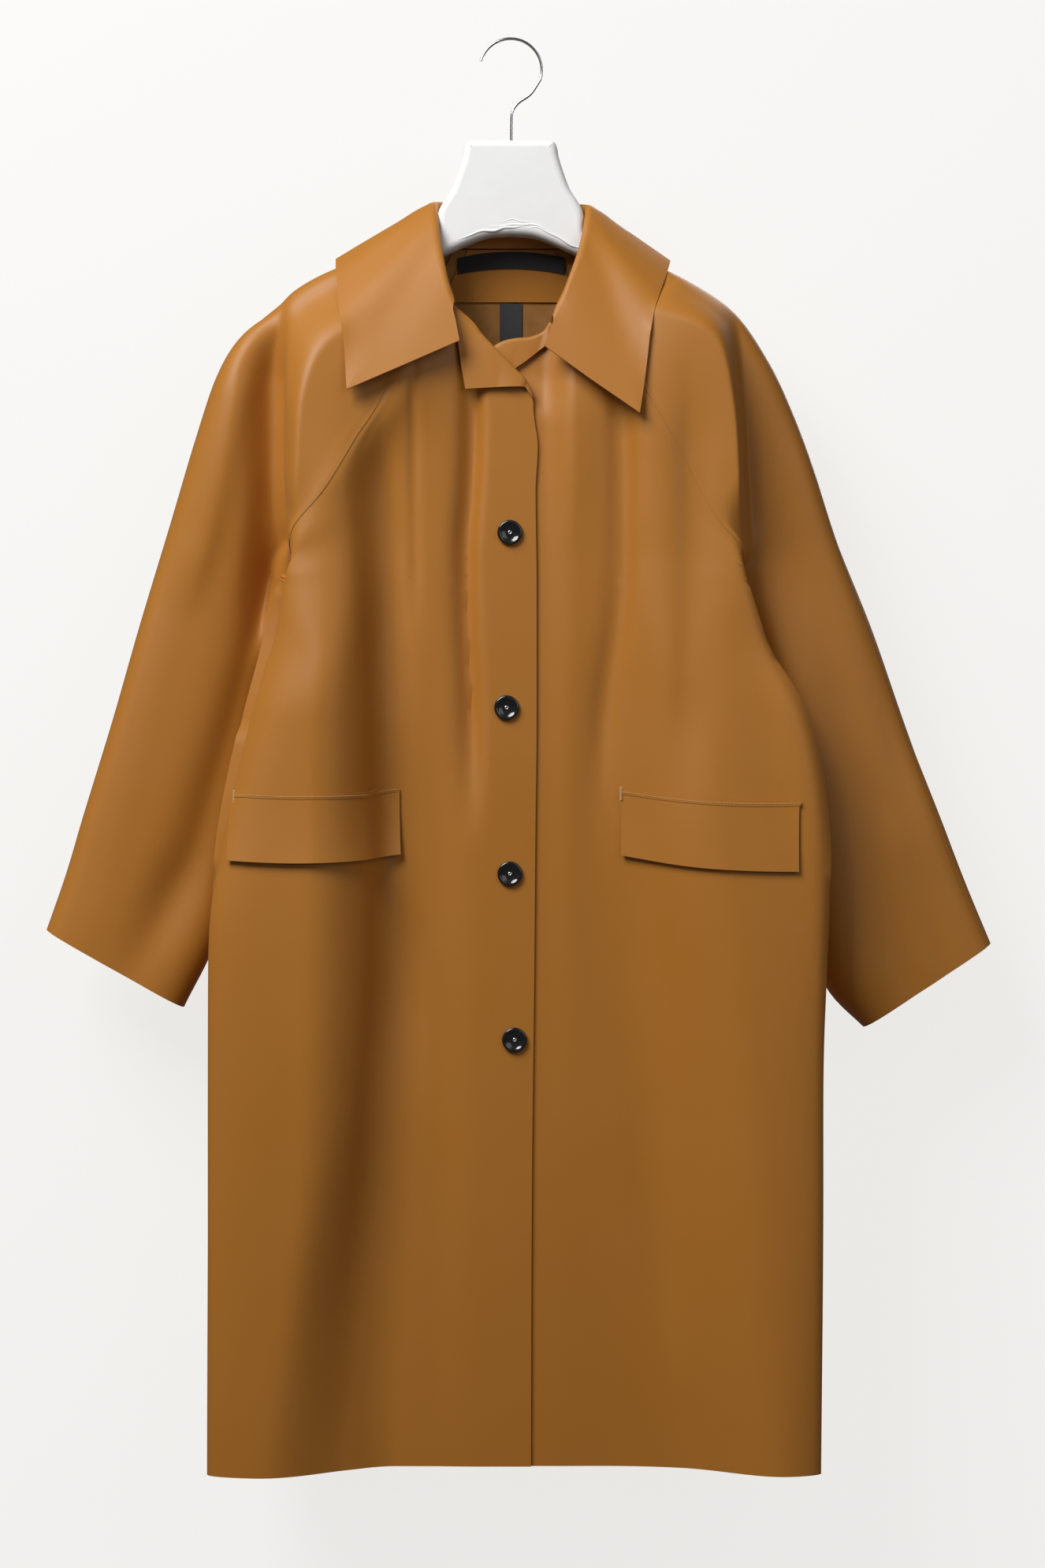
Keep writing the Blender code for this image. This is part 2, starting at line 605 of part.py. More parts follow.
def wall_mesh(points, faces, normals, wall, raised=0.0):
    """A closed wall: the sheet, drawn back from its own edges, and its offset."""
    loops = {}
    for face in faces:
        for n, corner in enumerate(face):
            loops[(face[n - 1], corner)] = face
    rim = [(a, b) for a, b in loops if (b, a) not in loops]
    centre = np.zeros_like(points)
    for face in faces:
        for corner in face:
            centre[corner] += unit(points[face].mean(axis=0) - points[corner])
    edge = {corner for pair in rim for corner in pair}
    drawn_in = points.copy()
    for corner in edge:
        inwards = centre[corner] - normals[corner] * np.dot(centre[corner], normals[corner])
        drawn_in[corner] += unit(inwards) * SEAM
    outer = drawn_in + normals * raised
    inner = outer - normals * wall
    count = len(points)
    closed = [list(face) for face in faces]
    closed += [[corner + count for corner in reversed(face)] for face in faces]
    closed += [[b, a, a + count, b + count] for a, b in rim]
    return np.concatenate([outer, inner]), closed


def material(name):
    if name in bpy.data.materials:
        return bpy.data.materials[name]
    colour, roughness, metallic = COLOURS[name]
    made = bpy.data.materials.new(name)
    made.use_nodes = True
    shader = made.node_tree.nodes["Principled BSDF"]
    shader.inputs["Base Color"].default_value = (*colour, 1)
    shader.inputs["Roughness"].default_value = roughness
    shader.inputs["Metallic"].default_value = metallic
    return made


def add_object(name, data, finish):
    data.materials.append(material(finish))
    made = bpy.data.objects.new(name, data)
    bpy.data.collections["rubber_coat"].objects.link(made)
    return made


def add_mesh(name, points, faces, finish):
    mesh = bpy.data.meshes.new(name)
    mesh.from_pydata((np.asarray(points) * MM).tolist(), [], [list(map(int, f)) for f in faces])
    shaped = bmesh.new()
    shaped.from_mesh(mesh)
    bmesh.ops.triangulate(shaped, faces=shaped.faces[:], quad_method="SHORT_EDGE")
    bmesh.ops.recalc_face_normals(shaped, faces=shaped.faces[:])
    shaped.to_mesh(mesh)
    shaped.free()
    mesh.shade_smooth()
    mesh.set_sharp_from_angle(angle=SHARP)
    return add_object(name, mesh, finish)


def add_wall(name, points, faces, normals, wall, finish, raised=0.0):
    at = np.array([normals[key_of(point)] for point in points])
    add_mesh(name, *wall_mesh(points, faces, at, wall, raised), finish)


# ---------------------------------------------------------------- pieces

def coat_panels():
    panels = {}
    for side in SIDES:
        panels["front_" + side] = front_panel(side)
        panels["back_" + side] = back_panel(side)
        panels["sleeve_front_" + side], panels["sleeve_back_" + side] = sleeve_panels(side)
    for side in SIDES:  # the seams are shared exactly
        upper = len(TOP_RIGHT) + 1
        panels["sleeve_front_" + side][:upper, -1] = panels["front_" + side][:upper, -1]
        panels["sleeve_back_" + side][:upper, -1] = panels["back_" + side][:upper, -1]
    return panels


def build_cloth():
    panels = coat_panels()
    sheets, flat_sheets = {}, []
    for name, grid in panels.items():
        body = grid[:, FOLD_STEPS + LAPEL_STEPS :] if name.startswith("front") else grid
        turned = facing_out(body, (0, -1, 0) if "front" in name else (0, 1, 0)) is not body
        sheets[name] = sheet_of(grid[:, ::-1] if turned else grid)
        flat_sheets.append(sheet_of(body))
    normals = common_normals(sheets.values())
    for name, (points, faces) in sheets.items():
        add_wall(name, points, faces, normals, WALL, "coat_rubber")
    halves = [collar_half(side, panels) for side in SIDES]
    collar = np.concatenate([halves[0], halves[1][::-1][1:]]).transpose(1, 0, 2)
    points, faces = sheet_of(rest_leaf(collar, flat_sheets, normals))
    add_wall("collar", points, faces, common_normals([(points, faces)]), WALL, "coat_rubber")


def on_front(side, x, z):
    section = front_section(side, z)
    return on_section(section, share_at(section, x))


def on_back(x, z):
    side = "left" if x > 0 else "right"
    section = back_section(side, z)
    return on_section(section, share_at(section, x))


def add_laid(name, grid, finish, wall, raised, towards):
    """A piece that lies on a panel: made from the panel's points and moved off it."""
    points, faces = sheet_of(facing_out(grid, towards))
    add_wall(name, points, faces, common_normals([(points, faces)]), wall, finish, raised)


def flap_grid(side):
    in_x, in_z, out_x, out_z, in_depth, out_depth = FLAPS[side]
    rows = []
    for down in np.linspace(0, 1, FLAP_ROWS):
        row = []
        for across in np.linspace(0, 1, FLAP_COLUMNS):
            x = in_x + (out_x - in_x) * across
            depth = (in_depth + (out_depth - in_depth) * across) * down
            z = in_z + (out_z - in_z) * across - FLAP_SAG * math.sin(math.pi * across) - depth
            lift = FLAP_LIFT * down * down * (1 + (1 - across) ** 2)
            row.append(on_front(side, x, z) - np.array([0, lift, 0]))
        rows.append(row)
    return np.array(rows)


def build_flaps():
    for side in FLAPS:
        raised = WALL + LAY + FACET_CLEAR
        add_laid("pocket_flap_" + side, flap_grid(side), "coat_rubber", WALL, raised, (0, -1, 0))


def back_strip(half_width, centre, top, bottom, columns, rows):
    """Points of the back's face. A half width of None reaches nearly to the raglan seams."""
    strip = []
    for z in np.linspace(top, bottom, rows):
        half = half_width or on_section(back_section("left", z), 1.0)[0] - FACING_IN
        strip.append([on_back(x, z) for x in np.linspace(centre - half, centre + half, columns)])
    return np.array(strip)


def build_back_trim():
    facing = back_strip(None, 0, FACING_TOP, FACING_BOTTOM, 13, 5)
    inside = -(WALL + LAY + TRIM_CLEAR)
    add_laid("neck_facing", facing, "coat_rubber", FACING_WALL, inside, (0, 1, 0))
    label = back_strip(LABEL_HALF_WIDTH, LABEL_X, LABEL_TOP, LABEL_BOTTOM, 11, 3)
    add_laid("label", label, "label_black", LABEL_WALL, inside - FACING_WALL - LAY, (0, 1, 0))
    tape = back_strip(TAPE_HALF_WIDTH, 0, TAPE_TOP, HEM_Z + 1, 3, 16)
    add_laid("back_tape", tape, "tape_grey", TAPE_WALL, inside, (0, 1, 0))


def button_mesh():
    """Half of a button's section, which a Screw modifier turns into the button."""
    mesh = bpy.data.meshes.new("button")
    points = [(radius * MM, 0, height * MM) for radius, height in BUTTON_PROFILE]
    mesh.from_pydata(points, [(n, n + 1) for n in range(len(points) - 1)], [])
    return mesh


def build_buttons():
    mesh = button_mesh()
    mesh.materials.append(material("button_black"))
    for number, (x, z) in enumerate(BUTTONS, 1):
        button = bpy.data.objects.new(f"button_{number}", mesh)
        bpy.data.collections["rubber_coat"].objects.link(button)
        turned = button.modifiers.new("turned", "SCREW")
        turned.steps = turned.render_steps = BUTTON_SIDES
        turned.use_merge_vertices = True
        turned.merge_threshold = 0.00001
        round_it = (-BUTTON_SEAT, 0, BUTTON_SEAT)
        seat = min(on_front("right", x + dx, z + dz)[1] for dx in round_it for dz in round_it)
        button.location = (x * MM, (seat - LAY) * MM, z * MM)
        button.rotation_euler = (math.pi / 2, 0, 0)


# ---------------------------------------------------------------- hanger

def hanger_outline():
    """Each half runs down the neck, out along the shoulder and back under the arch."""
    halves = []
    for side, table in (("right", SLEEVE_RIGHT), ("left", SLEEVE_LEFT)):
        sign = SIDES[side]
        ridge = np.array([(row[0], 0, row[2]) for row in refined(table)[0][2:9]])
        shoulder = along(ridge, np.linspace(0, 1, SHOULDER_POINTS))
        slope = unit(np.gradient(shoulder, axis=0))
        down = np.column_stack([slope[:, 2], np.zeros(SHOULDER_POINTS), -slope[:, 0]]) * sign
        shoulder = shoulder + down * (WALL + LAY + HANGER_UNDER)
        neck = [(sign * x, z) for x, z in HANGER_NECK]
        tip = [(shoulder[-1][0] + sign * x, shoulder[-1][2] + z) for x, z in HANGER_TIP]
        arch = [(sign * x, z) for x, z in HANGER_ARCH]
        halves.append(neck + [(x, z) for x, _, z in shoulder] + tip + arch)
    return halves[0][::-1] + halves[1] + [(0, HANGER_MIDDLE_Z)]


def build_hanger():
    outline = hanger_outline()
    curve = bpy.data.curves.new("hanger_outline", "CURVE")
    curve.dimensions = "2D"
    curve.fill_mode = "BOTH"
    curve.extrude = (HANGER_HALF_DEPTH - HANGER_ROUND) * MM
    curve.bevel_depth = HANGER_ROUND * MM
    curve.bevel_resolution = 2
    curve.offset = -HANGER_ROUND * MM
    spline = curve.splines.new("POLY")
    spline.points.add(len(outline) - 1)
    for point, (x, z) in zip(spline.points, outline):
        point.co = (x * MM, z * MM, 0, 1)
    spline.use_cyclic_u = True
    shape = bpy.data.objects.new("hanger_outline", curve)
    bpy.context.scene.collection.objects.link(shape)
    bpy.context.view_layer.update()
    evaluated = shape.evaluated_get(bpy.context.evaluated_depsgraph_get())
    mesh = bpy.data.meshes.new_from_object(evaluated)
    bpy.data.objects.remove(shape)
    shaped = bmesh.new()
    shaped.from_mesh(mesh)
    bmesh.ops.remove_doubles(shaped, verts=shaped.verts[:], dist=0.00001)
    bmesh.ops.recalc_face_normals(shaped, faces=shaped.faces[:])
    shaped.to_mesh(mesh)
    shaped.free()
    mesh.materials.clear()
    body = add_object("hanger_body", mesh, "hanger_white")
    body.rotation_euler = (math.pi / 2, 0, 0)


def build_hook():
    radius = HOOK_INNER_RADIUS + HOOK_WIRE
    turn = np.radians(np.linspace(HOOK_FIRST, HOOK_LAST, HOOK_POINTS))
    bow = np.column_stack([radius * np.cos(turn), radius * np.sin(turn) - HOOK_INNER_RADIUS])
    steps = np.linspace(0, 1, HOOK_TAIL_POINTS + 1)[1:]
    tail = glide(steps, HOOK_TAIL_SHARES, [bow[-1], *HOOK_TAIL])
    foot = (HOOK_TAIL[-1][0], HANGER_TOP_Z + LAY)
    route = [*bow, *tail, foot]
    curve = bpy.data.curves.new("hanger_hook", "CURVE")
    curve.dimensions = "3D"
    curve.bevel_depth = HOOK_WIRE * MM
    curve.bevel_resolution = 2
    curve.use_fill_caps = True
    spline = curve.splines.new("POLY")
    spline.points.add(len(route) - 1)
    for point, (x, z) in zip(spline.points, route):
        point.co = (x * MM, 0, z * MM, 1)
    add_object("hanger_hook", curve, "hook_chrome")


def main():
    for thing in list(bpy.data.objects):
        bpy.data.objects.remove(thing)
    bpy.context.scene.collection.children.link(bpy.data.collections.new("rubber_coat"))
    build_cloth()
    build_flaps()
    build_back_trim()
    build_buttons()
    build_hanger()
    build_hook()


main()
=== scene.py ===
"""The looks of a raglan rubber coat on its hanger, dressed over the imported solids.

Tables are in millimetres, in the solids' frame: X runs to the wearer's left, the
front faces -Y and Z is up, from the hook's rest. The cloth is the solids' own
surface, worked out from the same tables on a finer grid, with creases, lapped
seams and stitching added. MM turns millimetres into metres.
"""

import math

import bpy
import numpy as np
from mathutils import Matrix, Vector
from mathutils.kdtree import KDTree


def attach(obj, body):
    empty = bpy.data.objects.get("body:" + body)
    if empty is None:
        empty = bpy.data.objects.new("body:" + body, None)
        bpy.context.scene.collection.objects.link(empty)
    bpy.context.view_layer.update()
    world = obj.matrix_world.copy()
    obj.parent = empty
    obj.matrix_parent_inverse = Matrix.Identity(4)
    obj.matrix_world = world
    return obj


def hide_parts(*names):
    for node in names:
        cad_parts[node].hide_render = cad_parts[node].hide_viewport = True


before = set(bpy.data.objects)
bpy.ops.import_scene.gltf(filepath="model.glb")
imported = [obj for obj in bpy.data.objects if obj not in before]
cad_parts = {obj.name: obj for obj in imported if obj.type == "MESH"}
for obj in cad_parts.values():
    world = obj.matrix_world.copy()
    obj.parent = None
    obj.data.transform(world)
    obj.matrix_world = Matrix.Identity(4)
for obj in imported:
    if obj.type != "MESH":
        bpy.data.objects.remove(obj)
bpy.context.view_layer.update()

MM = 0.001
WALL = 1.6
SEAM = 0.2  # each piece stops this far short of the seam line
LAY = 0.35  # between a piece and what it lies on
FACET_CLEAR = 0.7  # more, where two curved walls have their facets in other places
HEM_Z, ARMPIT_Z = -1257.0, -490.0

# Front of the body from the front edge to the side seam, in plan. Above the
# armpit the seam is the raglan seam. |x| grows outwards, y is negative.
# z: front edge, middle, flank of the fold, its crest, outline, seam
FRONT_RIGHT = (
    (-200, (14, -35), (-20, -35), (-42, -34), (-54, -32), (-63, -30), (-70, -27)),
    (-245, (14, -40), (-30, -42), (-55, -45), (-69, -46), (-78, -46), (-85, -44)),
    (-290, (14, -44), (-40, -46), (-70, -52), (-86, -56), (-95, -57), (-103, -57)),
    (-327, (20, -45), (-55, -48), (-85, -54), (-102, -61), (-110, -63), (-117, -63)),
    (-366, (24, -45), (-62, -47), (-100, -53), (-122, -65), (-134, -69), (-142, -69)),
    (-407, (23, -45), (-68, -46), (-112, -52), (-140, -68), (-157, -74), (-168, -72)),
    (-450, (23, -45), (-70, -45), (-118, -51), (-152, -73), (-186, -76), (-197, -62)),
    (-490, (23, -45), (-72, -44), (-119, -51), (-162, -80), (-205, -69), (-190, -6)),
    (-545, (23, -45), (-72, -43), (-116, -51), (-165, -84), (-219, -63), (-196, -2)),
    (-600, (23, -45), (-70, -42), (-110, -51), (-172, -90), (-234, -65), (-205, 0)),
    (-700, (22, -45), (-70, -41), (-107, -48), (-174, -90), (-255, -67), (-220, 2)),
    (-820, (21, -45), (-74, -41), (-110, -50), (-176, -90), (-262, -70), (-240, 2)),
    (-1000, (19, -45), (-86, -41), (-118, -50), (-182, -90), (-262, -72), (-250, 2)),
    (-1257, (18, -45), (-100, -43), (-140, -60), (-214, -92), (-262, -76), (-250, 0)),
)
FRONT_LEFT = (
    (-200, (-26, -35), (20, -35), (42, -34), (54, -32), (63, -30), (70, -27)),
    (-245, (-26, -40), (34, -42), (60, -45), (72, -46), (80, -46), (87, -44)),
    (-290, (-26, -44), (50, -50), (75, -53), (92, -56), (100, -57), (107, -56)),
    (-342, (-26, -45), (56, -55), (90, -52), (118, -63), (127, -64), (135, -63)),
    (-383, (-26, -45), (56, -54), (90, -51), (128, -65), (150, -66), (160, -65)),
    (-431, (-26, -45), (54, -51), (88, -50), (138, -68), (172, -68), (187, -66)),
    (-460, (-26, -45), (52, -49), (86, -49), (145, -70), (198, -69), (204, -54)),
    (-490, (-26, -45), (50, -48), (84, -48), (150, -73), (207, -67), (190, -6)),
    (-545, (-26, -45), (50, -47), (80, -46), (158, -74), (222, -63), (198, -2)),
    (-600, (-26, -45), (48, -46), (77, -44), (170, -76), (246, -65), (210, 0)),
    (-700, (-26, -45), (46, -45), (74, -42), (186, -80), (266, -68), (228, 2)),
    (-820, (-26, -45), (50, -44), (88, -42), (204, -82), (270, -69), (246, 2)),
    (-1000, (-26, -45), (60, -43), (108, -44), (222, -84), (271, -71), (254, 2)),
    (-1257, (-26, -45), (80, -42), (150, -50), (236, -86), (269, -72), (255, 0)),
)
# Back of the body from the centre back seam to the side or raglan seam.
# z: centre back, middle, outer corner, seam; |x|, the same on both sides
BACK = (
    (-180, (0, 23), (28, 23), (42, 21), (50, 19)),
    (-215, (0, 30), (36, 30), (58, 30), (68, 28)),
    (-245, (0, 34), (44, 35), (72, 35), (82, 33)),
    (-290, (0, 38), (55, 39), (92, 40), (103, 38)),
    (-342, (0, 41), (66, 42), (112, 43), (127, 41)),
    (-407, (0, 43), (84, 45), (150, 46), (171, 43)),
    (-455, (0, 44), (92, 46), (172, 44), (197, 34)),
    (-490, (0, 45), (96, 47), (172, 42), (190, -6)),
    (-600, (0, 47), (100, 49), (178, 46), (206, 0)),
    (-820, (0, 50), (110, 52), (204, 50), (242, 2)),
    (-1257, (0, 50), (116, 52), (216, 52), (252, 0)),
)

# Rows of a front above the armpit. Each starts on the neckline, the turned-out
# lapel's fold or the front edge, and ends on the raglan seam. The lapel's cut
# edge lies at (edge_x, edge_z), and turn is how far it is folded, in degrees.
# start_x, start_z, seam_z, and where the lapel is edge_x, edge_z, turn
TOP_RIGHT = (
    (-68, -208.2, -205),
    (-63, -221, -230),
    (-57.5, -234, -260),
    (-50.5, -244, -285),
    (-47, -248, -295, -46, -277, 180),
    (-40, -255, -312, -43, -297, 180),
    (-30, -266, -333, -39.5, -316, 180),
    (-18, -278.5, -352, -25, -315.3, 180),
    (-7, -290, -369, -11, -314.6, 180),
    (4, -301.5, -384, 1.5, -314.6, 174),
    (13.5, -311.5, -398, 12.4, -314.4, 172),
    (19, -324, -411),
    (22.5, -338, -424),
    (24, -356, -436),
    (24, -398, -451),
    (23.5, -443, -468),
    (23.2, -462, -477),
    (23, -480, -485),
)
TOP_LEFT = (
    (68, -208, -205),
    (60, -226, -228),
    (48, -244, -251),
    (36, -257, -273),
    (33.5, -260.5, -284, 30.5, -277.5, 180),
    (28, -267, -297, 24, -282, 180),
    (17, -271.5, -318, 14, -290, 180),
    (6, -272.5, -338, 1.5, -298.5, 180),
    (-6, -275, -357, -9, -297, 176),
    (-16, -281, -375, -18, -295, 168),
    (-23, -289, -392, -23.5, -295, 140),
    (-25.5, -301, -408, -25.3, -304, 60),
    (-26, -318, -424),
    (-26, -352, -437),
    (-26, -396, -452),
    (-26, -442, -469),
    (-26, -462, -478),
    (-26, -480, -486),
)
# How far the left front's face lies behind the right one's at the lap.
# z, gap
LAP_GAP = ((-240, 10.0), (-300, 9.6), (-345, 2.6), (-1257, 2.6))
LAP_HALF_WIDTH, LAP_EASE_RIGHT, LAP_EASE_LEFT = 27, 40, 30
BACK_SEAM_RISE, BACK_SEAM_TOP, BACK_SEAM_EASE = 23, -205, 100

# Sleeves: the overarm seam's point, the inner point, the level of the front
# and the back between them, and where the front steps up to the body's fold:
# the step's middle and half its width. Above the armpit the inner point is
# the raglan seam at in_z; below, it is the underarm seam.
# out_x, out_y, out_z, in_x, in_y, in_z, front_y, back_y, step_x, soft
SLEEVE_RIGHT = (
    (-78, 0, -178, None, None, -205, -17, 16, -73, 3),
    (-130, 0, -194, None, None, -245, -22, 20, -104, 13),
    (-178, 0, -214.5, None, None, -290, -26, 24, -150, 19),
    (-210, 0, -237, None, None, -327, -29, 27, -180, 18),
    (-238, 0, -262.5, None, None, -366, -31, 30, -194, 15),
    (-260, 2, -301, None, None, -407, -30, 32, -197, 13),
    (-280, 4, -356, None, None, -450, -26, 34, -199, 11),
    (-303, 6, -431, -190, -6, -490, -21, 36, -206, 23),
    (-328, 8, -512, -215, 8, -560, -18, 36, -222, 11),
    (-355, 8, -606, -235, 8, -650, -18, 36, -240, 10),
    (-382, 8, -694, -252, 8, -740, -17, 35, -256, 8),
    (-395, 8, -738, -262, 8, -798, -16, 33, -266, 8),
    (-413, 8, -790, -291, 8, -859, -15, 31, -295, 7),
)
SLEEVE_LEFT = (
    (78, 0, -180, None, None, -205, -17, 16, 73, 3),
    (118, 0, -196, None, None, -245, -22, 20, 99, 11),
    (158, 0, -215, None, None, -290, -26, 24, 146, 14),
    (200, 0, -244.5, None, None, -342, -28, 28, 188, 9.5),
    (226, 2, -281, None, None, -383, -27, 30, 199.5, 6),
    (250, 4, -330, None, None, -431, -24, 32, 204.5, 5.5),
    (268, 5, -376, None, None, -460, -22, 34, 207.5, 5.5),
    (290, 6, -440, 190, -6, -490, -20, 36, 202, 18),
    (322, 8, -520, 218, 8, -560, -18, 36, 223, 8),
    (352, 8, -606, 240, 8, -650, -18, 36, 245, 7),
    (384, 8, -694, 258, 8, -740, -17, 35, 262, 8),
    (403, 8, -744, 273, 8, -806, -16, 33, 277, 8),
    (427, 8, -802, 320, 8, -872, -15, 31, 323, 6),
)
SLEEVE_ROUND = 2.6  # exponent of the sleeve's rounded section
SLEEVE_ROUND_SHARE = 0.35  # of its width, on each side
BACK_STEP, BACK_SOFT = 0.6, 0.4
OVERARM_SHARE = 0.09
CLOSING_Z = -420  # from here to the armpit the sleeve closes into a tube
ARMPIT_ROW = 7  # the row of both sleeve tables at the armpit

# Collar, from the front end to the centre back: the roll's top, the leaf's
# edge, and which way the stand faces, in degrees round from +X.
# roll_x, roll_y, roll_z, edge_x, edge_y, edge_z, facing
COLLAR_RIGHT = (
    (-50, -53, -242.5, -44, -62, -276, 262),
    (-56, -44, -219, -90, -68, -297, 250),
    (-61, -31, -192, -141.5, -74, -320, 230),
    (-65, -16, -166, -147, -48, -262, 205),
    (-68, 2, -146, -152, 0, -203, 175),
    (-50, 21, -142, -96, 44, -222, 125),
    (0, 26, -141, 0, 56, -226, 90),
)
COLLAR_LEFT = (
    (38, -53, -254, 29, -60, -280, 278),
    (49, -44, -226, 68, -66, -309, 290),
    (60, -31, -194, 112, -72, -340, 310),
    (66, -16, -168, 124, -46, -272, 335),
    (69, 2, -149, 138, 0, -206, 365),
    (50, 21, -143, 92, 44, -222, 415),
    (0, 26, -141, 0, 56, -226, 450),
)
SHOULDER_STATION = 4  # the leaf's edge is straight in front of it and round behind
ROLL_RADIUS = 3.6
ROLL_SHARES, ROLL_MOST = (0, 0.25, 0.5, 0.75, 1), 175  # of its turn, in degrees at the most
ROLL_LENGTH = 3.2  # of cloth that bends, in radii
ROLL_AHEAD = 0.2  # how far the roll's middle lies in front of the stand, in radii
BEND_MOST, BEND_START, BEND_END = 0.4, 0.3, 0.9  # its rows' share of a column: most, first, last
STAND_CLEAR, STAND_RADII = 0.6, 2.2  # off the seam, and the least height of the stand in radii
LEAF_MIDDLE, LEAF_SPRING = 0.55, 2.0  # the leaf's middle, and how far it stands off a straight line
LEAF_CLEAR, LEAF_END_CLEAR = 2.2, 4.5  # the ends also clear the lapels
LAPEL_RADIUS, LAPEL_SPRING = 1.6, 0.05

# Pocket flaps: where their top corners and their depth lie on the front.
# in_x, in_z, out_x, out_z, inner depth, outer depth
FLAPS = {
    "right": (-95, -664.5, -243.5, -668, 58, 59),
    "left": (97, -666, 248.5, -676.5, 57, 60),
}
FLAP_SAG = 4  # the top edge's dip
FLAP_LIFT = {"right": 2.6, "left": 1.2}  # how far the free edge stands off
FLAP_ROWS, FLAP_COLUMNS = 30, 72

# Trim on the back's inside. A half width of None reaches nearly to the raglan seams.
# half width, middle, top, bottom, columns, rows, dip of the ends
NECK_FACING = (None, 0, -182.5, -228, 60, 16, 0.0)
LABEL = (48, 0.5, -183.5, -198.5, 50, 8, 5.0)
BACK_TAPE = (10, 0, -229, HEM_Z + 1, 7, 160, 0.0)
FACING_IN, FACING_WALL, LABEL_WALL, TAPE_WALL = 12, 1.0, 0.8, 0.6
TRIM_CLEAR = 0.2

# Buttons on the lap of the right front.
# x, z
BUTTONS = ((-0.5, -441), (-3.3, -594), (-0.5, -739), (3.6, -884))
BUTTON_SEAT, BUTTON_SIDES = 8, 48

SHARP = math.radians(50)


# ---------------------------------------------------------------- finer grids

SIDES = {"right": -1, "left": 1}  # the wearer's, with the sign of X
FRONTS = {"right": FRONT_RIGHT, "left": FRONT_LEFT}
TOPS = {"right": TOP_RIGHT, "left": TOP_LEFT}
SLEEVES = {"right": SLEEVE_RIGHT, "left": SLEEVE_LEFT}
COLLARS = {"right": COLLAR_RIGHT, "left": COLLAR_LEFT}

WELD, WELD_TURNED = 0.02, 0.00001
FORWARDS = (math.pi / 2, 0, 0)  # turns +Z to -Y
CURVE_SAMPLES = 81
FACE_TOP, FACE_STEP = -176.0, 2.5
FACE_SHARES = np.linspace(0, 1, 241)
TOP_BETWEEN = 7  # rows for each step of a top's table
TOP_ROWS = (len(TOP_RIGHT) - 1) * TOP_BETWEEN + 1
NECK_ROWS = slice(3 * TOP_BETWEEN, None, -1)  # of a front, that the collar is sewn to
LOWER_ROWS = np.linspace(ARMPIT_Z, HEM_Z, 97)
FRONT_COLUMNS, BACK_COLUMNS = 73, 41
LAPEL_COLUMNS, FOLD_STEPS, FACED_COLUMNS = 20, 8, 12
OVERARM_COLUMN, SLEEVE_COLUMNS, EDGE_POWER = 8, 44, 2.2
EDGE_SPREAD = (np.arange(OVERARM_COLUMN + 1) / OVERARM_COLUMN) ** EDGE_POWER * OVERARM_SHARE
BETWEEN_EDGES = np.linspace(OVERARM_SHARE, 1 - OVERARM_SHARE, SLEEVE_COLUMNS)[1:-1]
SLEEVE_SHARES = np.concatenate([EDGE_SPREAD, BETWEEN_EDGES, 1 - EDGE_SPREAD[::-1]])
LOWER_SLEEVE_ROWS = 60
COLLAR_STATION_COLUMNS = 20
STAND_ROWS, ROLL_ROWS, LEAF_ROWS = 6, 16, 22
LEAF_NEIGHBOURS, LEAF_NEAR = 24, 2
LEAF_ROUNDS, LEAF_BOW, LEAF_BLEND = 90, 2.5, 0.4
LEAF_SKIPPED, BOW_LEAST = 0.12, 0.1  # share at each side that isn't tested, and a bow's least
LEAF_END_STATIONS = 1.5  # stations over which the ends' clearance fades
ROLL_KEPT = 0.8  # of the roll's rows, above the leaf that is laid straight
PUSH_KEPT = 0.9  # of each column's own rise, where it is smoothed
LEAF_EVEN_ROUNDS, LEAF_EVEN_COLUMNS = 60, 50  # the leaf is evened in front of the shoulders
CREASE_STEPS, CREASE_FADE, CREASE_REACH = 60, 0.26, 3
FORWARD = 0.15  # points whose direction has a y under this take the front's creases
# Where the cloth is smoothed: x, y and z, and how far to each side.
SOFT_SPOTS = ((-142, -70, -465, 56, 60, 110), (148, -68, -462, 54, 60, 110))
SOFT_ROUNDS, SOFT_STEP = 160, 0.5
LAP_STEPS = (1.5, 3.5, 5.0, 5.5)  # from the seam, over the neighbour
LAP_RISE, LAP_LIFT, LAP_WALL = 14.0, 0.6, 0.6
LAP_TAPER_ROWS, LAP_COLUMNS = 14, 16
STITCH_SIDES, STITCH_PITCH, STITCH_LENGTH, STITCH_RADIUS = 6, 2.6, 2.1, 0.3
STITCH_SECTIONS = ((0.0, 0.35), (0.12, 0.8), (0.5, 1.0), (0.88, 0.8), (1.0, 0.35))  # share, swell
STITCH_SUNK = 0.6
BARTACK_HALF_WIDTH, BARTACK_RADIUS, BARTACK_SLANT, BARTACK_OUT = 1.1, 0.5, 0.25, 0.3
BARTACK_RISES, BARTACK_SWELLS = np.linspace(4.0, -7.0, 13), (0.3, 0.9, 1.0, 0.9, 0.3)
WELT_RISES = (1.6, 0.6, -0.8, -2.2, -3.4)  # of the sewn band on a flap, from its top edge
WELT_WALL, WELT_LIFT, WELT_SEWN, STITCH_LIFT = 0.8, 0.45, -1.2, 0.1
WAVE_BANDS = 0.314  # the wave texture's scale for one band to the metre
BUTTON_SMOOTH = (
    (0.0, 1.3), (2.0, 1.32), (4.0, 1.5), (6.0, 1.95), (7.2, 2.45), (8.0, 3.0), (8.6, 3.3), (9.3, 3.4),
    (10.0, 3.25), (10.6, 2.8), (11.0, 2.1), (10.9, 1.3), (10.4, 0.6), (9.6, 0.15), (8.0, 0.0), (0.0, 0.0),
)
EYELET = ((0.45, 1.9), (0.6, 2.15), (1.2, 2.3), (1.75, 2.1), (1.9, 1.7), (1.9, 1.2), (0.45, 1.2))

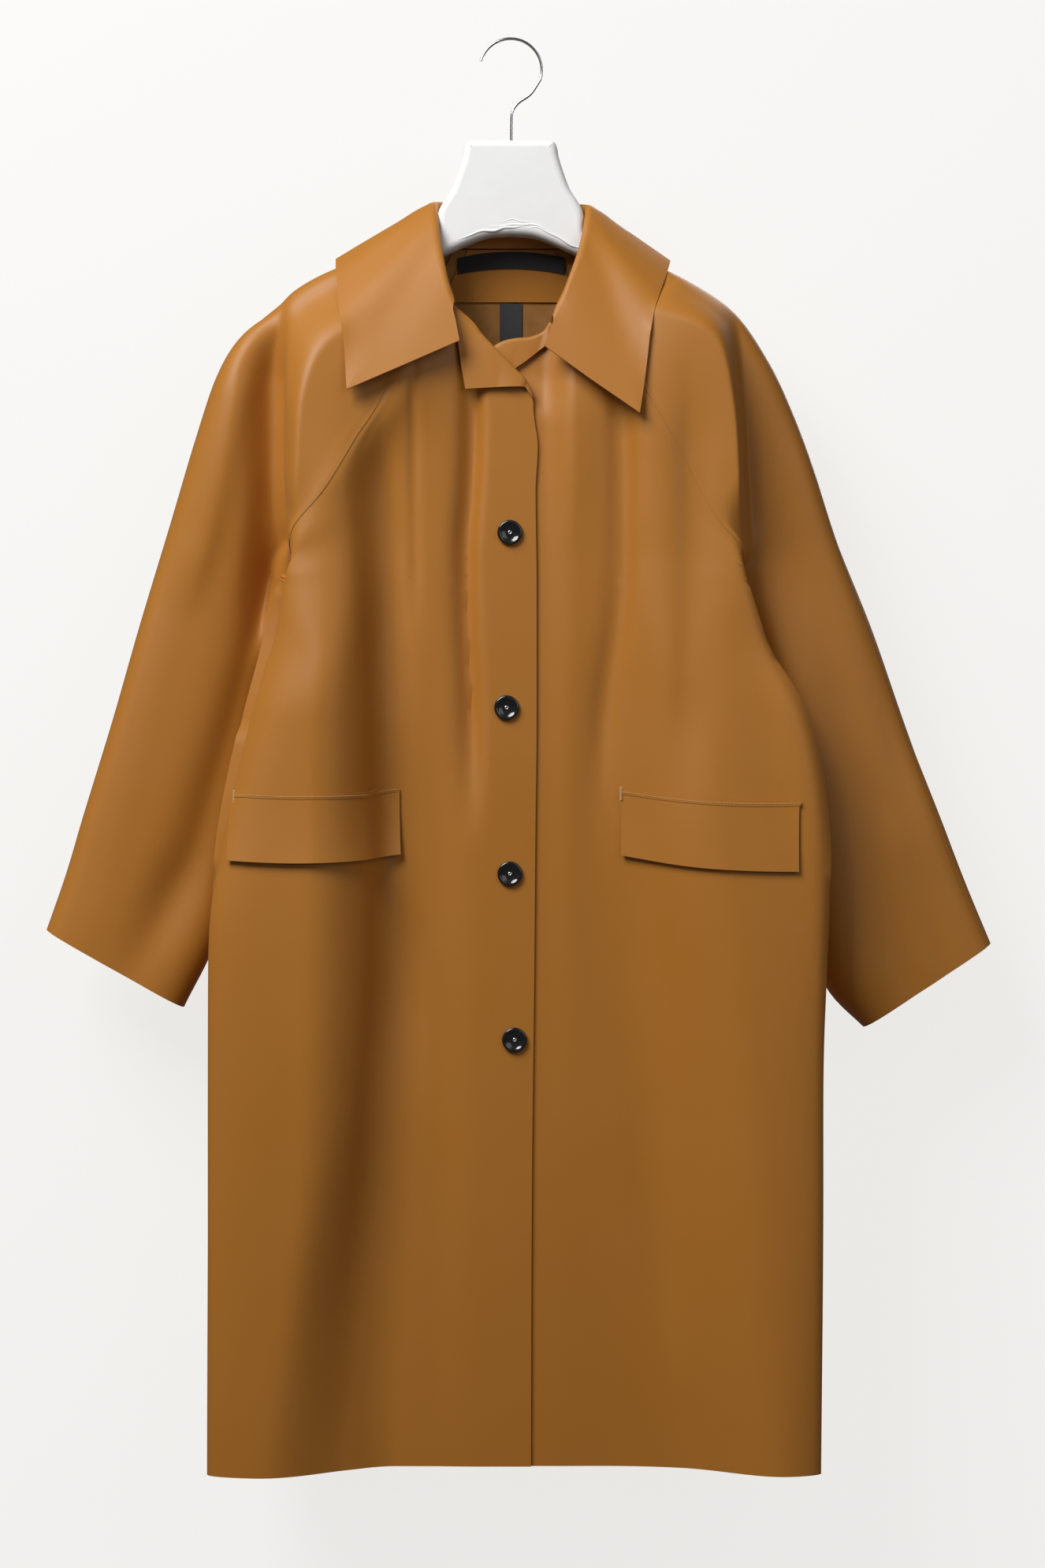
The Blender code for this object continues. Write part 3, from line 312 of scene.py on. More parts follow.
# Creases on top of the tables' folds: ridges, and troughs where the height is
# negative. Each has its own half width on its -X side and on its +X side.
# path of x and z, half widths, height
CREASES_FRONT = (
    # the chest and skirt, wearer's right
    (((-118, -230), (-110, -400), (-106, -480), (-103, -640), (-98, -790), (-92, -960)), 26, 16, -9.0),
    (((-150, -330), (-140, -500), (-134, -640), (-133, -790), (-142, -920), (-158, -1150)), 28, 18, 8.0),
    (((-90, -720), (-102, -900), (-116, -1060), (-134, -1330)), 30, 18, -4.5),
    (((-160, -420), (-160, -600), (-164, -720), (-168, -840), (-180, -1000)), 30, 24, 3.0),
    (
        ((-39, -225), (-32, -340), (-34, -400), (-38, -460), (-37, -530), (-34, -600), (-33, -720)),
        11.5, 7, -11.0,
    ),
    (((-84, -250), (-84, -390), (-82, -540)), 5, 5, -2.2),
    # the sleeve, wearer's right
    (((-200, -215), (-211, -300), (-212, -400), (-213, -470), (-220, -560)), 17, 8, -20.0),
    (((-236, -250), (-246, -340), (-262, -420), (-290, -520)), 20, 13, 4.5),
    (
        (
            (-206, -380), (-212, -461), (-224, -531), (-240, -595),
            (-261, -665), (-278, -721), (-299, -763), (-350, -870),
        ),
        22, 26, -10.5,
    ),
    # the chest and skirt, wearer's left
    (((96, -245), (97, -343), (98, -400), (98, -455), (93, -523), (83, -592), (78, -700)), 10, 9, -5.5),
    (((157, -260), (158, -400), (156, -480), (154, -560), (150, -700)), 15, 26, -5.5),
    (((112, -620), (116, -767), (128, -880), (134, -1000), (138, -1200)), 24, 24, -3.5),
    # the sleeve, wearer's left
    (((222, -450), (248, -570), (272, -680), (292, -800), (318, -960)), 24, 36, 13.0),
    (((272, -330), (306, -450), (336, -590), (366, -720)), 18, 24, -3.0),
    (((330, -670), (350, -770), (385, -870)), 12, 12, 2.0),
)
CREASES_BACK = (
    (((-60, -260), (-70, -520), (-90, -900)), 26, 26, 2.5),
    (((66, -280), (78, -600), (95, -1000)), 24, 30, 2.2),
    (((-130, -420), (-150, -760), (-165, -1300)), 22, 30, -3.4),
    (((128, -430), (150, -800), (170, -1300)), 30, 22, -3.2),
    (((-12, -620), (6, -900), (14, -1300)), 34, 30, -2.6),
    (((-215, -300), (-250, -460), (-300, -640), (-335, -770)), 18, 24, -4.0),
    (((210, -290), (256, -450), (305, -630), (350, -780)), 24, 18, -4.2),
)

# The hanger, as in the solid but for the neck's flare: x and z.
HANGER_NECK = (
    (30, -90), (38, -91), (41, -96), (43, -106), (47.5, -120),
    (52.5, -133), (60, -145), (64.5, -155), (66, -172), (78, -186),
)
HANGER_ARCH = ((150, -236), (105, -212), (60, -192), (25, -177))
HANGER_MIDDLE_Z = -174
HANGER_TIP = ((3, -14), (-8, -22))
HANGER_UNDER, HANGER_HALF_DEPTH, HANGER_ROUND = 2.6, 10.5, 6.5
HANGER_POINTS, SHOULDER_POINTS = 50, 24
HANGER_ROWS = slice(2 * TOP_BETWEEN, 8 * TOP_BETWEEN + 1, TOP_BETWEEN)  # of the sleeves, over its arms
HOOK_WIRE, HOOK_INNER_RADIUS = 1.3, 26.4
HOOK_FIRST, HOOK_LAST = 163, -18
HOOK_BOW_POINTS, HOOK_TAIL_POINTS = 64, 30
HOOK_TAIL = ((17.5, -48), (5.5, -57), (1.4, -64), (0.7, -76))
HOOK_TAIL_SHARES = (0, 0.3, 0.6, 0.8, 1)
# Gathers of the hanger's cover: rise over the arch, first and last share, phase, radius
GATHERS = (
    (5.5, 0.2, 0.62, 0.4, 1.3),
    (8.5, 0.3, 0.84, 2.1, 1.1),
    (11.5, 0.38, 0.7, 4.0, 0.9),
    (7.0, 0.58, 0.92, 5.2, 1.2),
)
GATHER_WAVES = ((1.2, 1, 9), (0.6, 3, 21))  # height, share of the phase, angle over its length
GATHER_POINTS, GATHER_OUT = 60, -0.55

RUBBER_ROUGHNESS, RUBBER_SPECULAR = 0.5, 0.45
RUBBER_COLOURS = ((0.445, 0.168, 0.016), (0.475, 0.182, 0.02))
BACKING_COLOURS = ((0.36, 0.16, 0.04), (0.42, 0.2, 0.06))
EDGE_COLOURS = ((0.5, 0.25, 0.07), (0.58, 0.31, 0.1))
THREAD_COLOURS = ((0.5, 0.28, 0.1), (0.75, 0.5, 0.25))
LABEL_COLOURS = ((0.012, 0.012, 0.013), (0.035, 0.035, 0.037))
TAPE_COLOURS = ((0.035, 0.035, 0.04), (0.075, 0.075, 0.08))
BUTTON_COLOURS = ((0.006, 0.006, 0.007), (0.016, 0.015, 0.015))
HANGER_COLOURS = ((0.93, 0.93, 0.925), (0.96, 0.96, 0.955))
EYELET_COLOUR, HOOK_COLOUR = (0.8, 0.8, 0.8), (0.8, 0.81, 0.82)
METAL_DULLER = 0.9  # its second colour, as a share of the first

CAMERA_X, CAMERA_Z, CAMERA_AWAY = 10.5, -660.5, 2750
PHOTO_HEIGHT, PHOTO_SCALE, SENSOR = 1989, 0.7, 36
PAPER, PAPER_MATT = (0.80, 0.79, 0.77), 0.16
# name, place, turn, size, glow
STAGE = (
    ("wall", (0, 0.085, -0.3), (math.pi / 2, 0, 0), 6.0, 1.0),
    ("floor", (0, -1.5, -1.85), (0, 0, 0), 6.0, 0.95),
)
# name, place, aim, size, energy
LIGHTS = (
    ("key", (-1.45, -1.75, 1.6), (0, 0, -0.3), (1.7, 1.7), 101),
    ("fill", (1.7, -2.4, 0.5), (0, 0, -0.6), (2.0, 2.0), 13),
    ("back", (0.6, 2.6, 1.0), (0, 0, -0.6), (2.0, 2.0), 50),
)
WORLD = 0.095

# ---------------------------------------------------------------- curves

def glide(at, xs, ys):
    """Values at `at` on a smooth curve through the rows of ys, with no overshoot."""
    xs, ys = np.asarray(xs, float), np.asarray(ys, float)
    if xs[0] > xs[-1]:
        xs, ys = xs[::-1], ys[::-1]
    step = np.diff(xs)[:, None]
    slope = np.diff(ys, axis=0) / step
    inner = (slope[1:] * step[:-1] + slope[:-1] * step[1:]) / (step[1:] + step[:-1])
    limit = 3 * np.minimum(np.abs(slope[1:]), np.abs(slope[:-1])) * (slope[1:] * slope[:-1] > 0)
    inner = np.clip(inner, -limit, limit)
    tangent = np.vstack([slope[:1], inner, slope[-1:]])
    at = np.atleast_1d(np.asarray(at, float))
    k = np.clip(np.searchsorted(xs, at) - 1, 0, len(xs) - 2)
    t = np.clip((at - xs[k]) / step[k, 0], 0, 1)[:, None]
    a, b, width = ys[k], ys[k + 1], step[k]
    return (
        a * (1 + 2 * t) * (1 - t) ** 2
        + b * t * t * (3 - 2 * t)
        + tangent[k] * width * t * (1 - t) ** 2
        - tangent[k + 1] * width * t * t * (1 - t)
    )


def through(path, count):
    """Points at even steps along the smooth curve through the path's."""
    return glide(np.linspace(0, len(path) - 1, count), np.arange(len(path)), path)


def length_along(points):
    return np.concatenate([[0], np.cumsum(np.linalg.norm(np.diff(points, axis=0), axis=1))])


def read(path, run, at):
    """The path's rows at these places along its run."""
    return np.stack([np.interp(at, run, path[:, i]) for i in range(path.shape[1])], axis=-1)


def drawn(points):
    """A dense smooth curve through the points, and its length at each sample."""
    chord = length_along(points)
    curve = glide(np.linspace(0, chord[-1], CURVE_SAMPLES), chord, points)
    return curve, length_along(curve)


def along(points, shares):
    """Points at these shares of the length of the smooth curve through `points`."""
    curve, run = drawn(points)
    return read(curve, run / run[-1], shares)


def ease(t):
    t = np.clip(t, 0, 1)
    return t * t * (3 - 2 * t)


def unit(v):
    return v / np.maximum(np.linalg.norm(v, axis=-1, keepdims=True), 1e-9)


def weld(points):
    """Each point's first twin, for points that share a place."""
    keys = np.round(points / WELD).astype(np.int64)
    _, first, twin = np.unique(keys, axis=0, return_index=True, return_inverse=True)
    return first[twin.reshape(-1)]


# ---------------------------------------------------------------- body

def table_values(table, z):
    """The table's points at height z, as rows of x, y, z."""
    flat = [[value for point in row[1:] for value in point] for row in table]
    pairs = glide(z, [row[0] for row in table], flat)[0].reshape(-1, 2)
    return np.column_stack([pairs, np.full(len(pairs), z)])


def front_section(side, z):
    """The front's smooth plan curve at height z, and its length run."""
    curve, _ = drawn(table_values(FRONTS[side], z))
    lap = table_values(FRONT_RIGHT, z)[0, 1]
    if side == "right":  # the lap is flat, and the front comes forward beside it
        beside = ease((-LAP_HALF_WIDTH - curve[:, 0]) / LAP_EASE_RIGHT)
    else:
        lap += glide(z, [row[0] for row in LAP_GAP], [[row[1]] for row in LAP_GAP])[0, 0]
        beside = ease((curve[:, 0] - LAP_HALF_WIDTH) / LAP_EASE_LEFT)
    curve[:, 1] = lap + (curve[:, 1] - lap) * beside
    return curve, length_along(curve)


def back_section(side, z):
    points = table_values(BACK, z)
    points[:, 0] *= SIDES[side]
    if z < ARMPIT_Z:
        points[-1] = table_values(FRONTS[side], z)[-1]
    return drawn(points)


def face_of(section, side):
    """A face of the body: points on even levels, at even shares of each level's length."""
    rows = []
    for z in np.arange(FACE_TOP, HEM_Z - FACE_STEP, -FACE_STEP):
        curve, run = section(side, z)
        rows.append(read(curve, run, FACE_SHARES * run[-1]))
    return np.array(rows)


def spots(face, z, share):
    """Points of a face at these heights and shares."""
    row = (FACE_TOP - np.asarray(z, float)) / FACE_STEP
    column = np.asarray(share, float) * (face.shape[1] - 1)
    i = np.clip(row.astype(int), 0, face.shape[0] - 2)
    j = np.clip(column.astype(int), 0, face.shape[1] - 2)
    down, across = (row - i)[..., None], (column - j)[..., None]
    upper = face[i, j] * (1 - across) + face[i, j + 1] * across
    lower = face[i + 1, j] * (1 - across) + face[i + 1, j + 1] * across
    return upper * (1 - down) + lower * down


def share_at(face, z, x):
    """The share of the level's length where it first reaches x."""
    section = spots(face, np.full(len(FACE_SHARES), z), FACE_SHARES)
    outward = np.maximum.accumulate(np.abs(section[:, 0] - section[0, 0]))
    return np.interp(abs(x - section[0, 0]), outward, FACE_SHARES)


def at_x(face, x, z):
    return spots(face, z, share_at(face, z, x))


def top_rows(side):
    """The rows of a front above the armpit, filled in between the table's."""
    table = TOPS[side]
    numbers = np.arange(len(table))
    steps = np.linspace(0, numbers[-1], numbers[-1] * TOP_BETWEEN + 1)
    start_x, start_z, seam_z = glide(steps, numbers, [row[:3] for row in table]).T
    cut = [n for n in numbers if len(table[n]) > 3]
    ends = [cut[0] - 1, *cut, cut[-1] + 1]
    edges = [table[n][3:5] if n in cut else table[n][:2] for n in ends]
    edge_x, edge_z = read(np.array(edges, float), ends, steps).T
    turn = np.interp(steps, cut, [table[n][5] for n in cut])
    folded = (steps > ends[0]) & (steps < ends[-1])
    return start_x, start_z, seam_z, edge_x, edge_z, turn, folded


def lapel_row(start, edge_x, edge_z, turn):
    """Points from the cut edge back to the fold at `start`, which it leaves out."""
    flat = np.array([edge_x - start[0], 0, edge_z - start[2]])
    reach = np.linalg.norm(flat)
    if reach < SEAM:
        return [start] * LAPEL_COLUMNS
    out, front = -flat / reach, np.array([0, -1, 0])
    radius = min(LAPEL_RADIUS, reach / 4)
    angles = np.radians(turn * np.linspace(0, 1, FOLD_STEPS + 1)[1:])
    points = [start + radius * (out * math.sin(a) + front * (1 - math.cos(a))) for a in angles]
    ahead = out * math.cos(angles[-1]) + front * math.sin(angles[-1])
    spring = front * LAPEL_SPRING * reach
    shares = np.linspace(0, 1, LAPEL_COLUMNS - FOLD_STEPS + 1)[1:]
    points += [points[-1] + (ahead * reach + spring) * share for share in shares]
    return points[::-1]


def front_panel(side, face):
    """The front's grid: rows from the neck to the hem, columns outwards."""
    rows = []
    across = np.linspace(0, 1, FRONT_COLUMNS)
    for x, z, seam_z, edge_x, edge_z, turn, folded in zip(*top_rows(side)):
        first = share_at(face, z, x)
        row = spots(face, z + (seam_z - z) * across, first + (1 - first) * across)
        lapel = lapel_row(row[0], edge_x, edge_z, turn) if folded else [row[0]] * LAPEL_COLUMNS
        rows.append([*lapel, *row])
    for z in LOWER_ROWS:
        row = spots(face, np.full(FRONT_COLUMNS, z), across)
        rows.append([*[row[0]] * LAPEL_COLUMNS, *row])
    return np.array(rows)


def back_seam_z(front_z):
    """The back raglan seam starts higher on the neck than the front one."""
    return front_z + BACK_SEAM_RISE * (1 - ease((BACK_SEAM_TOP - front_z) / BACK_SEAM_EASE))


def back_panel(side, face):
    across = np.linspace(0, 1, BACK_COLUMNS)
    levels = [*back_seam_z(top_rows(side)[2]), *LOWER_ROWS]
    return np.array([spots(face, np.full(BACK_COLUMNS, z), across) for z in levels])


# ---------------------------------------------------------------- sleeves

def sleeve_rows(side, faces):
    """The sleeve's rows down to the armpit, one for each of the front's, and the rows below it."""
    filled = []
    for row in SLEEVES[side]:
        inner = row[3:5] if row[3] is not None else spots(faces["front"], row[5], 1.0)[:2]
        filled.append([*row[:3], *inner, *row[5:]])
    filled = np.array(filled, float)
    seam = [*top_rows(side)[2], ARMPIT_Z]
    upper = glide(seam, filled[: ARMPIT_ROW + 1, 5], filled[: ARMPIT_ROW + 1])
    run = length_along(filled[:, :3])
    lower_run = np.linspace(run[ARMPIT_ROW], run[-1], LOWER_SLEEVE_ROWS + 1)[1:]
    return upper, glide(lower_run, run, filled)


def rounded(share):
    """How far a rounded edge has risen at this share of the width from it."""
    left = 1 - np.minimum(share / SLEEVE_ROUND_SHARE, 1)
    return (1 - left**SLEEVE_ROUND) ** (1 / SLEEVE_ROUND)


def sleeve_row(face, row, inner, closed):
    """One row of a sleeve's front or back, from the overarm seam inwards."""
    out, (front_y, back_y, step_x, step_soft) = row[:3], row[6:]
    width = inner[0] - out[0]
    level, step, soft = back_y, BACK_STEP, BACK_SOFT
    if face == "front":
        level, step, soft = front_y, (step_x - out[0]) / width, step_soft / abs(width)
    rise, fall = rounded(SLEEVE_SHARES), 1 - rounded(1 - SLEEVE_SHARES)
    stepped = ease((SLEEVE_SHARES - step) / (2 * soft) + 0.5)
    stepped = (stepped - stepped[0]) / (stepped[-1] - stepped[0])
    change = closed * fall + (1 - closed) * stepped
    points = out + (inner - out) * SLEEVE_SHARES[:, None]
    points[:, 1] = out[1] + (level - out[1]) * rise + (inner[1] - level) * change
    return points


def sleeve_face(side, face, faces):
    upper, lower = sleeve_rows(side, faces)
    rows = []
    for row in upper:
        closed = ease((CLOSING_Z - row[5]) / (CLOSING_Z - ARMPIT_Z))
        z = row[5] if face == "front" else back_seam_z(row[5])
        inner = row[3:6] if row[5] <= ARMPIT_Z else spots(faces[face], z, 1.0)
        rows.append(sleeve_row(face, row, inner, closed))
    rows += [sleeve_row(face, row, row[3:6], 1) for row in lower]
    return np.array(rows)


def sleeve_panels(side, faces):
    """The front and the back of a sleeve, parted at the overarm seam."""
    front, back = sleeve_face(side, "front", faces), sleeve_face(side, "back", faces)
    turned = front[:, OVERARM_COLUMN:0:-1]
    return front[:, OVERARM_COLUMN:], np.concatenate([turned, back], axis=1)


# ---------------------------------------------------------------- collar

def neckline(side, cloth):
    """The neckline's outer points from the front end to the centre back."""
    front, over, behind, back = (
        cloth[kind + side][0] for kind in ("front_", "sleeve_front_", "sleeve_back_", "back_")
    )
    return np.concatenate([front[NECK_ROWS, LAPEL_COLUMNS], over[0][::-1], behind[0, 1:], back[0][::-1][1:]])


def collar_half(side, cloth):
    """Columns from the front end to the centre back, each from the seam over the roll to the edge."""
    table = np.array(COLLARS[side], float)
    stations = np.arange(len(table))
    seam = neckline(side, cloth)
    run = length_along(seam)
    where = np.linspace(0, stations[-1], stations[-1] * COLLAR_STATION_COLUMNS + 1)
    rolls = glide(where, stations, table[:, [0, 1, 2, 6]])
    straight = read(table[:, 3:6], stations, where)
    curved = glide(where, stations[SHOULDER_STATION:], table[SHOULDER_STATION:, 3:6])
    edges = np.where(where[:, None] <= SHOULDER_STATION, straight, curved)
    roll_run = length_along(rolls[:, :3])
    columns = []
    for roll, edge, round_neck in zip(rolls, edges, roll_run / roll_run[-1]):
        base = read(seam, run, round_neck * run[-1])
        columns.append(collar_column(base, roll, edge))
    return np.array(columns)


def collar_column(base, roll, edge):
    """Points of one column: up the stand, round the roll and down the leaf."""
    facing = math.radians(roll[3])
    out = np.array([math.cos(facing), math.sin(facing), 0])
    up = unit(roll[:3] - base)
    height = np.linalg.norm(roll[:3] - base)
    radius = min(ROLL_RADIUS, height / STAND_RADII)
    base = base + up * min(STAND_CLEAR, height / 4)
    leaf = unit(edge - roll[:3])
    out = out - up * np.dot(out, up)
    out = unit(out + (1 - np.linalg.norm(out)) * unit(leaf - up * np.dot(leaf, up)))
    turn = min(math.acos(np.clip(np.dot(up, leaf), -1, 1)), math.radians(ROLL_MOST))
    centre = roll[:3] - up * radius + out * radius * ROLL_AHEAD
    angles = turn * np.array(ROLL_SHARES)[:, None]
    bend = centre + radius * (-out * np.cos(angles) + up * np.sin(angles))
    leaf_mid = bend[-1] * (1 - LEAF_MIDDLE) + edge * LEAF_MIDDLE + out * LEAF_SPRING
    column = [base, (base + bend[0]) / 2, *bend, leaf_mid, edge]
    return along(column, collar_shares(height, edge, roll))


def collar_shares(height, edge, roll):
    """Where the rows lie on a column: close together round the roll."""
    leaf = np.linalg.norm(edge - roll[:3])
    whole = height + leaf
    bend = min(ROLL_RADIUS * ROLL_LENGTH, whole * BEND_MOST)
    start = max(height - bend / 2, height * BEND_START) / whole
    end = min(start + bend / whole, BEND_END)
    stand = start * np.linspace(0, 1, STAND_ROWS + 1)[:-1]
    leaf_shares = end + (1 - end) * np.linspace(0, 1, LEAF_ROWS + 1)[1:]
    return np.concatenate([stand, np.linspace(start, end, ROLL_ROWS), leaf_shares])


def height_over(cloth, outward):
    """A function that gives a point's height over the cloth, and the way straight off it."""
    tree = KDTree(len(cloth))
    for n, point in enumerate(cloth):
        tree.insert(point, n)
    tree.balance()

    def over_cloth(point):
        near, gaps = np.array([hit[1:] for hit in tree.find_n(point, LEAF_NEIGHBOURS)]).T
        near = near.astype(int)
        weight = 1 / (gaps + LEAF_NEAR) ** 2
        weight = (weight / weight.sum())[:, None]
        away = unit((outward[near] * weight).sum(axis=0))
        return np.dot(point - (cloth[near] * weight).sum(axis=0), away), away

    return over_cloth


def rest_leaf(collar, cloth, outward):
    """The leaf drawn nearly straight from its roll to its edge, clear of the cloth under it."""
    over_cloth = height_over(cloth, outward)
    columns = np.arange(collar.shape[1])
    ends = np.minimum(columns, columns[::-1])
    clear = LEAF_CLEAR + LEAF_END_CLEAR * (1 - ease(ends / (LEAF_END_STATIONS * COLLAR_STATION_COLUMNS)))
    found = [over_cloth(point) for point in collar[-1]]
    push = smooth_over([max(least - height, 0) for least, (height, _) in zip(clear, found)])
    away = np.array([away for _, away in found])[None]
    for _ in range(LEAF_ROUNDS):
        away = blurred(away)
    edge = collar[-1] + unit(away[0]) * push[:, None]
    leaf = collar[STAND_ROWS + int(ROLL_ROWS * ROLL_KEPT) :]
    shares = np.linspace(0, 1, len(leaf))
    bow = 4 * shares * (1 - shares)
    line = leaf[0] + (edge - leaf[0]) * shares[:, None, None]
    need, lean = np.zeros(len(columns)), np.zeros_like(edge)
    for column in columns:
        for share, curve, point in zip(shares, bow, line[:, column]):
            if LEAF_SKIPPED < share < 1 - LEAF_SKIPPED:
                height, away = over_cloth(point)
                lean[column] += away
                need[column] = max(need[column], (clear[column] - height) / (curve + BOW_LEAST))
    need = smooth_over(np.clip(need, 0, LEAF_BOW))
    line += unit(lean) * (bow[:, None] * need)[..., None]
    leaf += (line - leaf) * ease(shares / LEAF_BLEND)[:, None, None]
    even = 1 - ease((ends - LEAF_EVEN_COLUMNS) / COLLAR_STATION_COLUMNS)
    for _ in range(LEAF_EVEN_ROUNDS):
        leaf[1:-1, 1:-1] += (blurred(leaf) - leaf)[1:-1, 1:-1] * even[1:-1, None]
    return collar


def smooth_over(values):
    """A smooth run of values that stays above the given ones."""
    least = np.asarray(values, float)
    smooth = least
    for _ in range(LEAF_ROUNDS):
        padded = np.concatenate([smooth[:1], smooth, smooth[-1:]])
        smooth = np.maximum(least * PUSH_KEPT, (padded[:-2] + 2 * padded[1:-1] + padded[2:]) / 4)
    return smooth


def blurred(grid):
    """The grid averaged with its neighbours, its edges with themselves."""
    padded = np.concatenate([grid[:1], grid, grid[-1:]])
    grid = (padded[:-2] + 2 * padded[1:-1] + padded[2:]) / 4
    padded = np.concatenate([grid[:, :1], grid, grid[:, -1:]], axis=1)
    return (padded[:, :-2] + 2 * padded[:, 1:-1] + padded[:, 2:]) / 4


# ---------------------------------------------------------------- creases

def crease_depth(points, table):
    """How far each point is raised, or sunk where negative, by the table's creases."""
    depth, flat = np.zeros(len(points)), points[:, [0, 2]]
    for path, left, right, height in table:
        route = through(path, CREASE_STEPS)
        ahead = unit(np.gradient(route, axis=0))
        run = length_along(route)
        reach = CREASE_REACH * max(left, right)
        low, high = route.min(axis=0) - reach, route.max(axis=0) + reach
        near = np.flatnonzero(((flat > low) & (flat < high)).all(axis=1))
        nearest = np.linalg.norm(flat[near][:, None] - route[None], axis=2).argmin(axis=1)
        gap = flat[near] - route[nearest]
        ahead = ahead[nearest]
        at = (run[nearest] + (gap * ahead).sum(axis=1)) / run[-1]
        across = gap[:, 1] * ahead[:, 0] - gap[:, 0] * ahead[:, 1]
        across = across * np.sign(-route[-1, 1] + route[0, 1])
        share = across / np.where(across > 0, right, left)
        fade = ease(at / CREASE_FADE) * ease((1 - at) / CREASE_FADE)
        depth[near] += height * fade * np.exp(-share * share)
    return depth


def on_cloth(face, places):
    """The creased front's points at these (x, z), and their outward directions."""

    def beside(dx, dz):
        return np.array([at_x(face, x + dx, z + dz) for x, z in places])

    place = beside(0, 0)
    out = unit(np.cross(beside(1, 0) - beside(-1, 0), beside(0, 1) - beside(0, -1)))
    return place + out * crease_depth(place, CREASES_FRONT)[:, None], out


# ---------------------------------------------------------------- meshes

def quads(grid, turned=False):
    """Corner numbers of a grid's faces, for points numbered row by row."""
    number = np.arange(grid.shape[0] * grid.shape[1]).reshape(grid.shape[:2])
    corners = [number[:-1, :-1], number[1:, :-1], number[1:, 1:], number[:-1, 1:]]
    faces = np.stack([part.reshape(-1) for part in corners], axis=1)
    return faces[:, ::-1] if turned else faces


def facing_out(grid, towards):
    """The grid with its columns turned round where its faces look the other way."""
    a, b = grid[-1, -1] - grid[0, 0], grid[-1, 0] - grid[0, -1]
    return grid if np.dot(np.cross(b, a), towards) > 0 else grid[:, ::-1]


def point_normals(points, faces, twin):
    """The outward direction at each point, shared by points in one place."""
    a, b, c, d = (points[faces[:, n]] for n in range(4))
    normal = np.cross(c - a, d - b)
    total = np.zeros_like(points)
    for n in range(4):
        np.add.at(total, twin[faces[:, n]], normal)
    return unit(total[twin])


def clean_faces(faces, twin):
    """The faces as lists, by first twins, with corners in one place made one."""
    kept, sources = [], []
    for number, face in enumerate(twin[faces].tolist()):
        corners = [c for n, c in enumerate(face) if c != face[n - 1]]
        if len(set(corners)) >= 3:
            kept.append(corners)
            sources.append(number)
    return kept, sources


def wall_mesh(points, faces, normals, wall, raised=0.0):
    """A closed wall: the sheet, drawn back from its own edges, and its offset inside.

    Returns points, faces and how many faces are outside and inside; the rest are the cut edge.
    """
    sides = {(face[n - 1], corner) for face in faces for n, corner in enumerate(face)}
    rim = [(a, b) for a, b in sides if (b, a) not in sides]
    centre = np.zeros_like(points)
    edge = {corner for pair in rim for corner in pair}
    for face in faces:
        if not edge.isdisjoint(face):
            middle = points[face].mean(axis=0)
            for corner in face:
                centre[corner] += unit(middle - points[corner])
    edge = np.array(sorted(edge))
    inwards = centre[edge] - normals[edge] * (centre[edge] * normals[edge]).sum(axis=1)[:, None]
    drawn_in = points.copy()
    drawn_in[edge] += unit(inwards) * SEAM
    outer = drawn_in + normals * np.reshape(raised, (-1, 1))
    inner = outer - normals * np.reshape(wall, (-1, 1))
    count = len(points)
    closed = [*faces, *([corner + count for corner in reversed(face)] for face in faces)]
    closed += [[b, a, a + count, b + count] for a, b in rim]
    return np.concatenate([outer, inner]), closed, len(faces)


def add_object(name, data, nodes=(), place=(0, 0, 0), turn=(0, 0, 0)):
    """A piece of the object, and the solids that it stands for."""
    made = bpy.data.objects.new(name, data)
    bpy.context.scene.collection.objects.link(made)
    made.location = place
    made.rotation_euler = turn
    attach(made, "root")
    if nodes:
        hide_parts(*nodes)
    return made


def add_mesh(name, points, faces, materials, parts=(), nodes=(), slot="coat_rubber"):
    """A mesh piece, with its faces' materials by part."""
    used = np.unique(np.concatenate([np.asarray(face) for face in faces]))
    place = np.zeros(len(points), int)
    place[used] = np.arange(len(used))
    mesh = bpy.data.meshes.new(name)
    mesh.from_pydata((points[used] * MM).tolist(), [], [place[face].tolist() for face in faces])
    for finish in materials:
        mesh.materials.append(finish)
    if len(parts):
        mesh.polygons.foreach_set("material_index", np.asarray(parts, np.int32))
    mesh.shade_smooth()
    mesh.set_sharp_from_angle(angle=SHARP)
    return add_object(name, mesh, nodes)


def add_wall(name, points, faces, normals, wall, materials, raised=0.0, inside_rubber=(), **words):
    """A cloth wall. Its materials are those of the outside, the inside and the cut edge."""
    walled, closed, count = wall_mesh(points, faces, normals, wall, raised)
    parts = np.full(len(closed), 2)
    parts[:count], parts[count : 2 * count] = 0, 1
    for number in inside_rubber:
        parts[count + number] = 0
    return add_mesh(name, walled, closed, materials, parts, **words)


def add_laid(name, grid, wall, raised, towards, materials, **words):
    """A piece that lies on a panel: made from the panel's points and moved off it."""
    grid = grid if towards is None else facing_out(grid, towards)
    points, faces = grid.reshape(-1, 3), quads(grid)
    twin = weld(points)
    normals = point_normals(points, faces, twin)
    return add_wall(name, points, clean_faces(faces, twin)[0], normals, wall, materials, raised, **words)


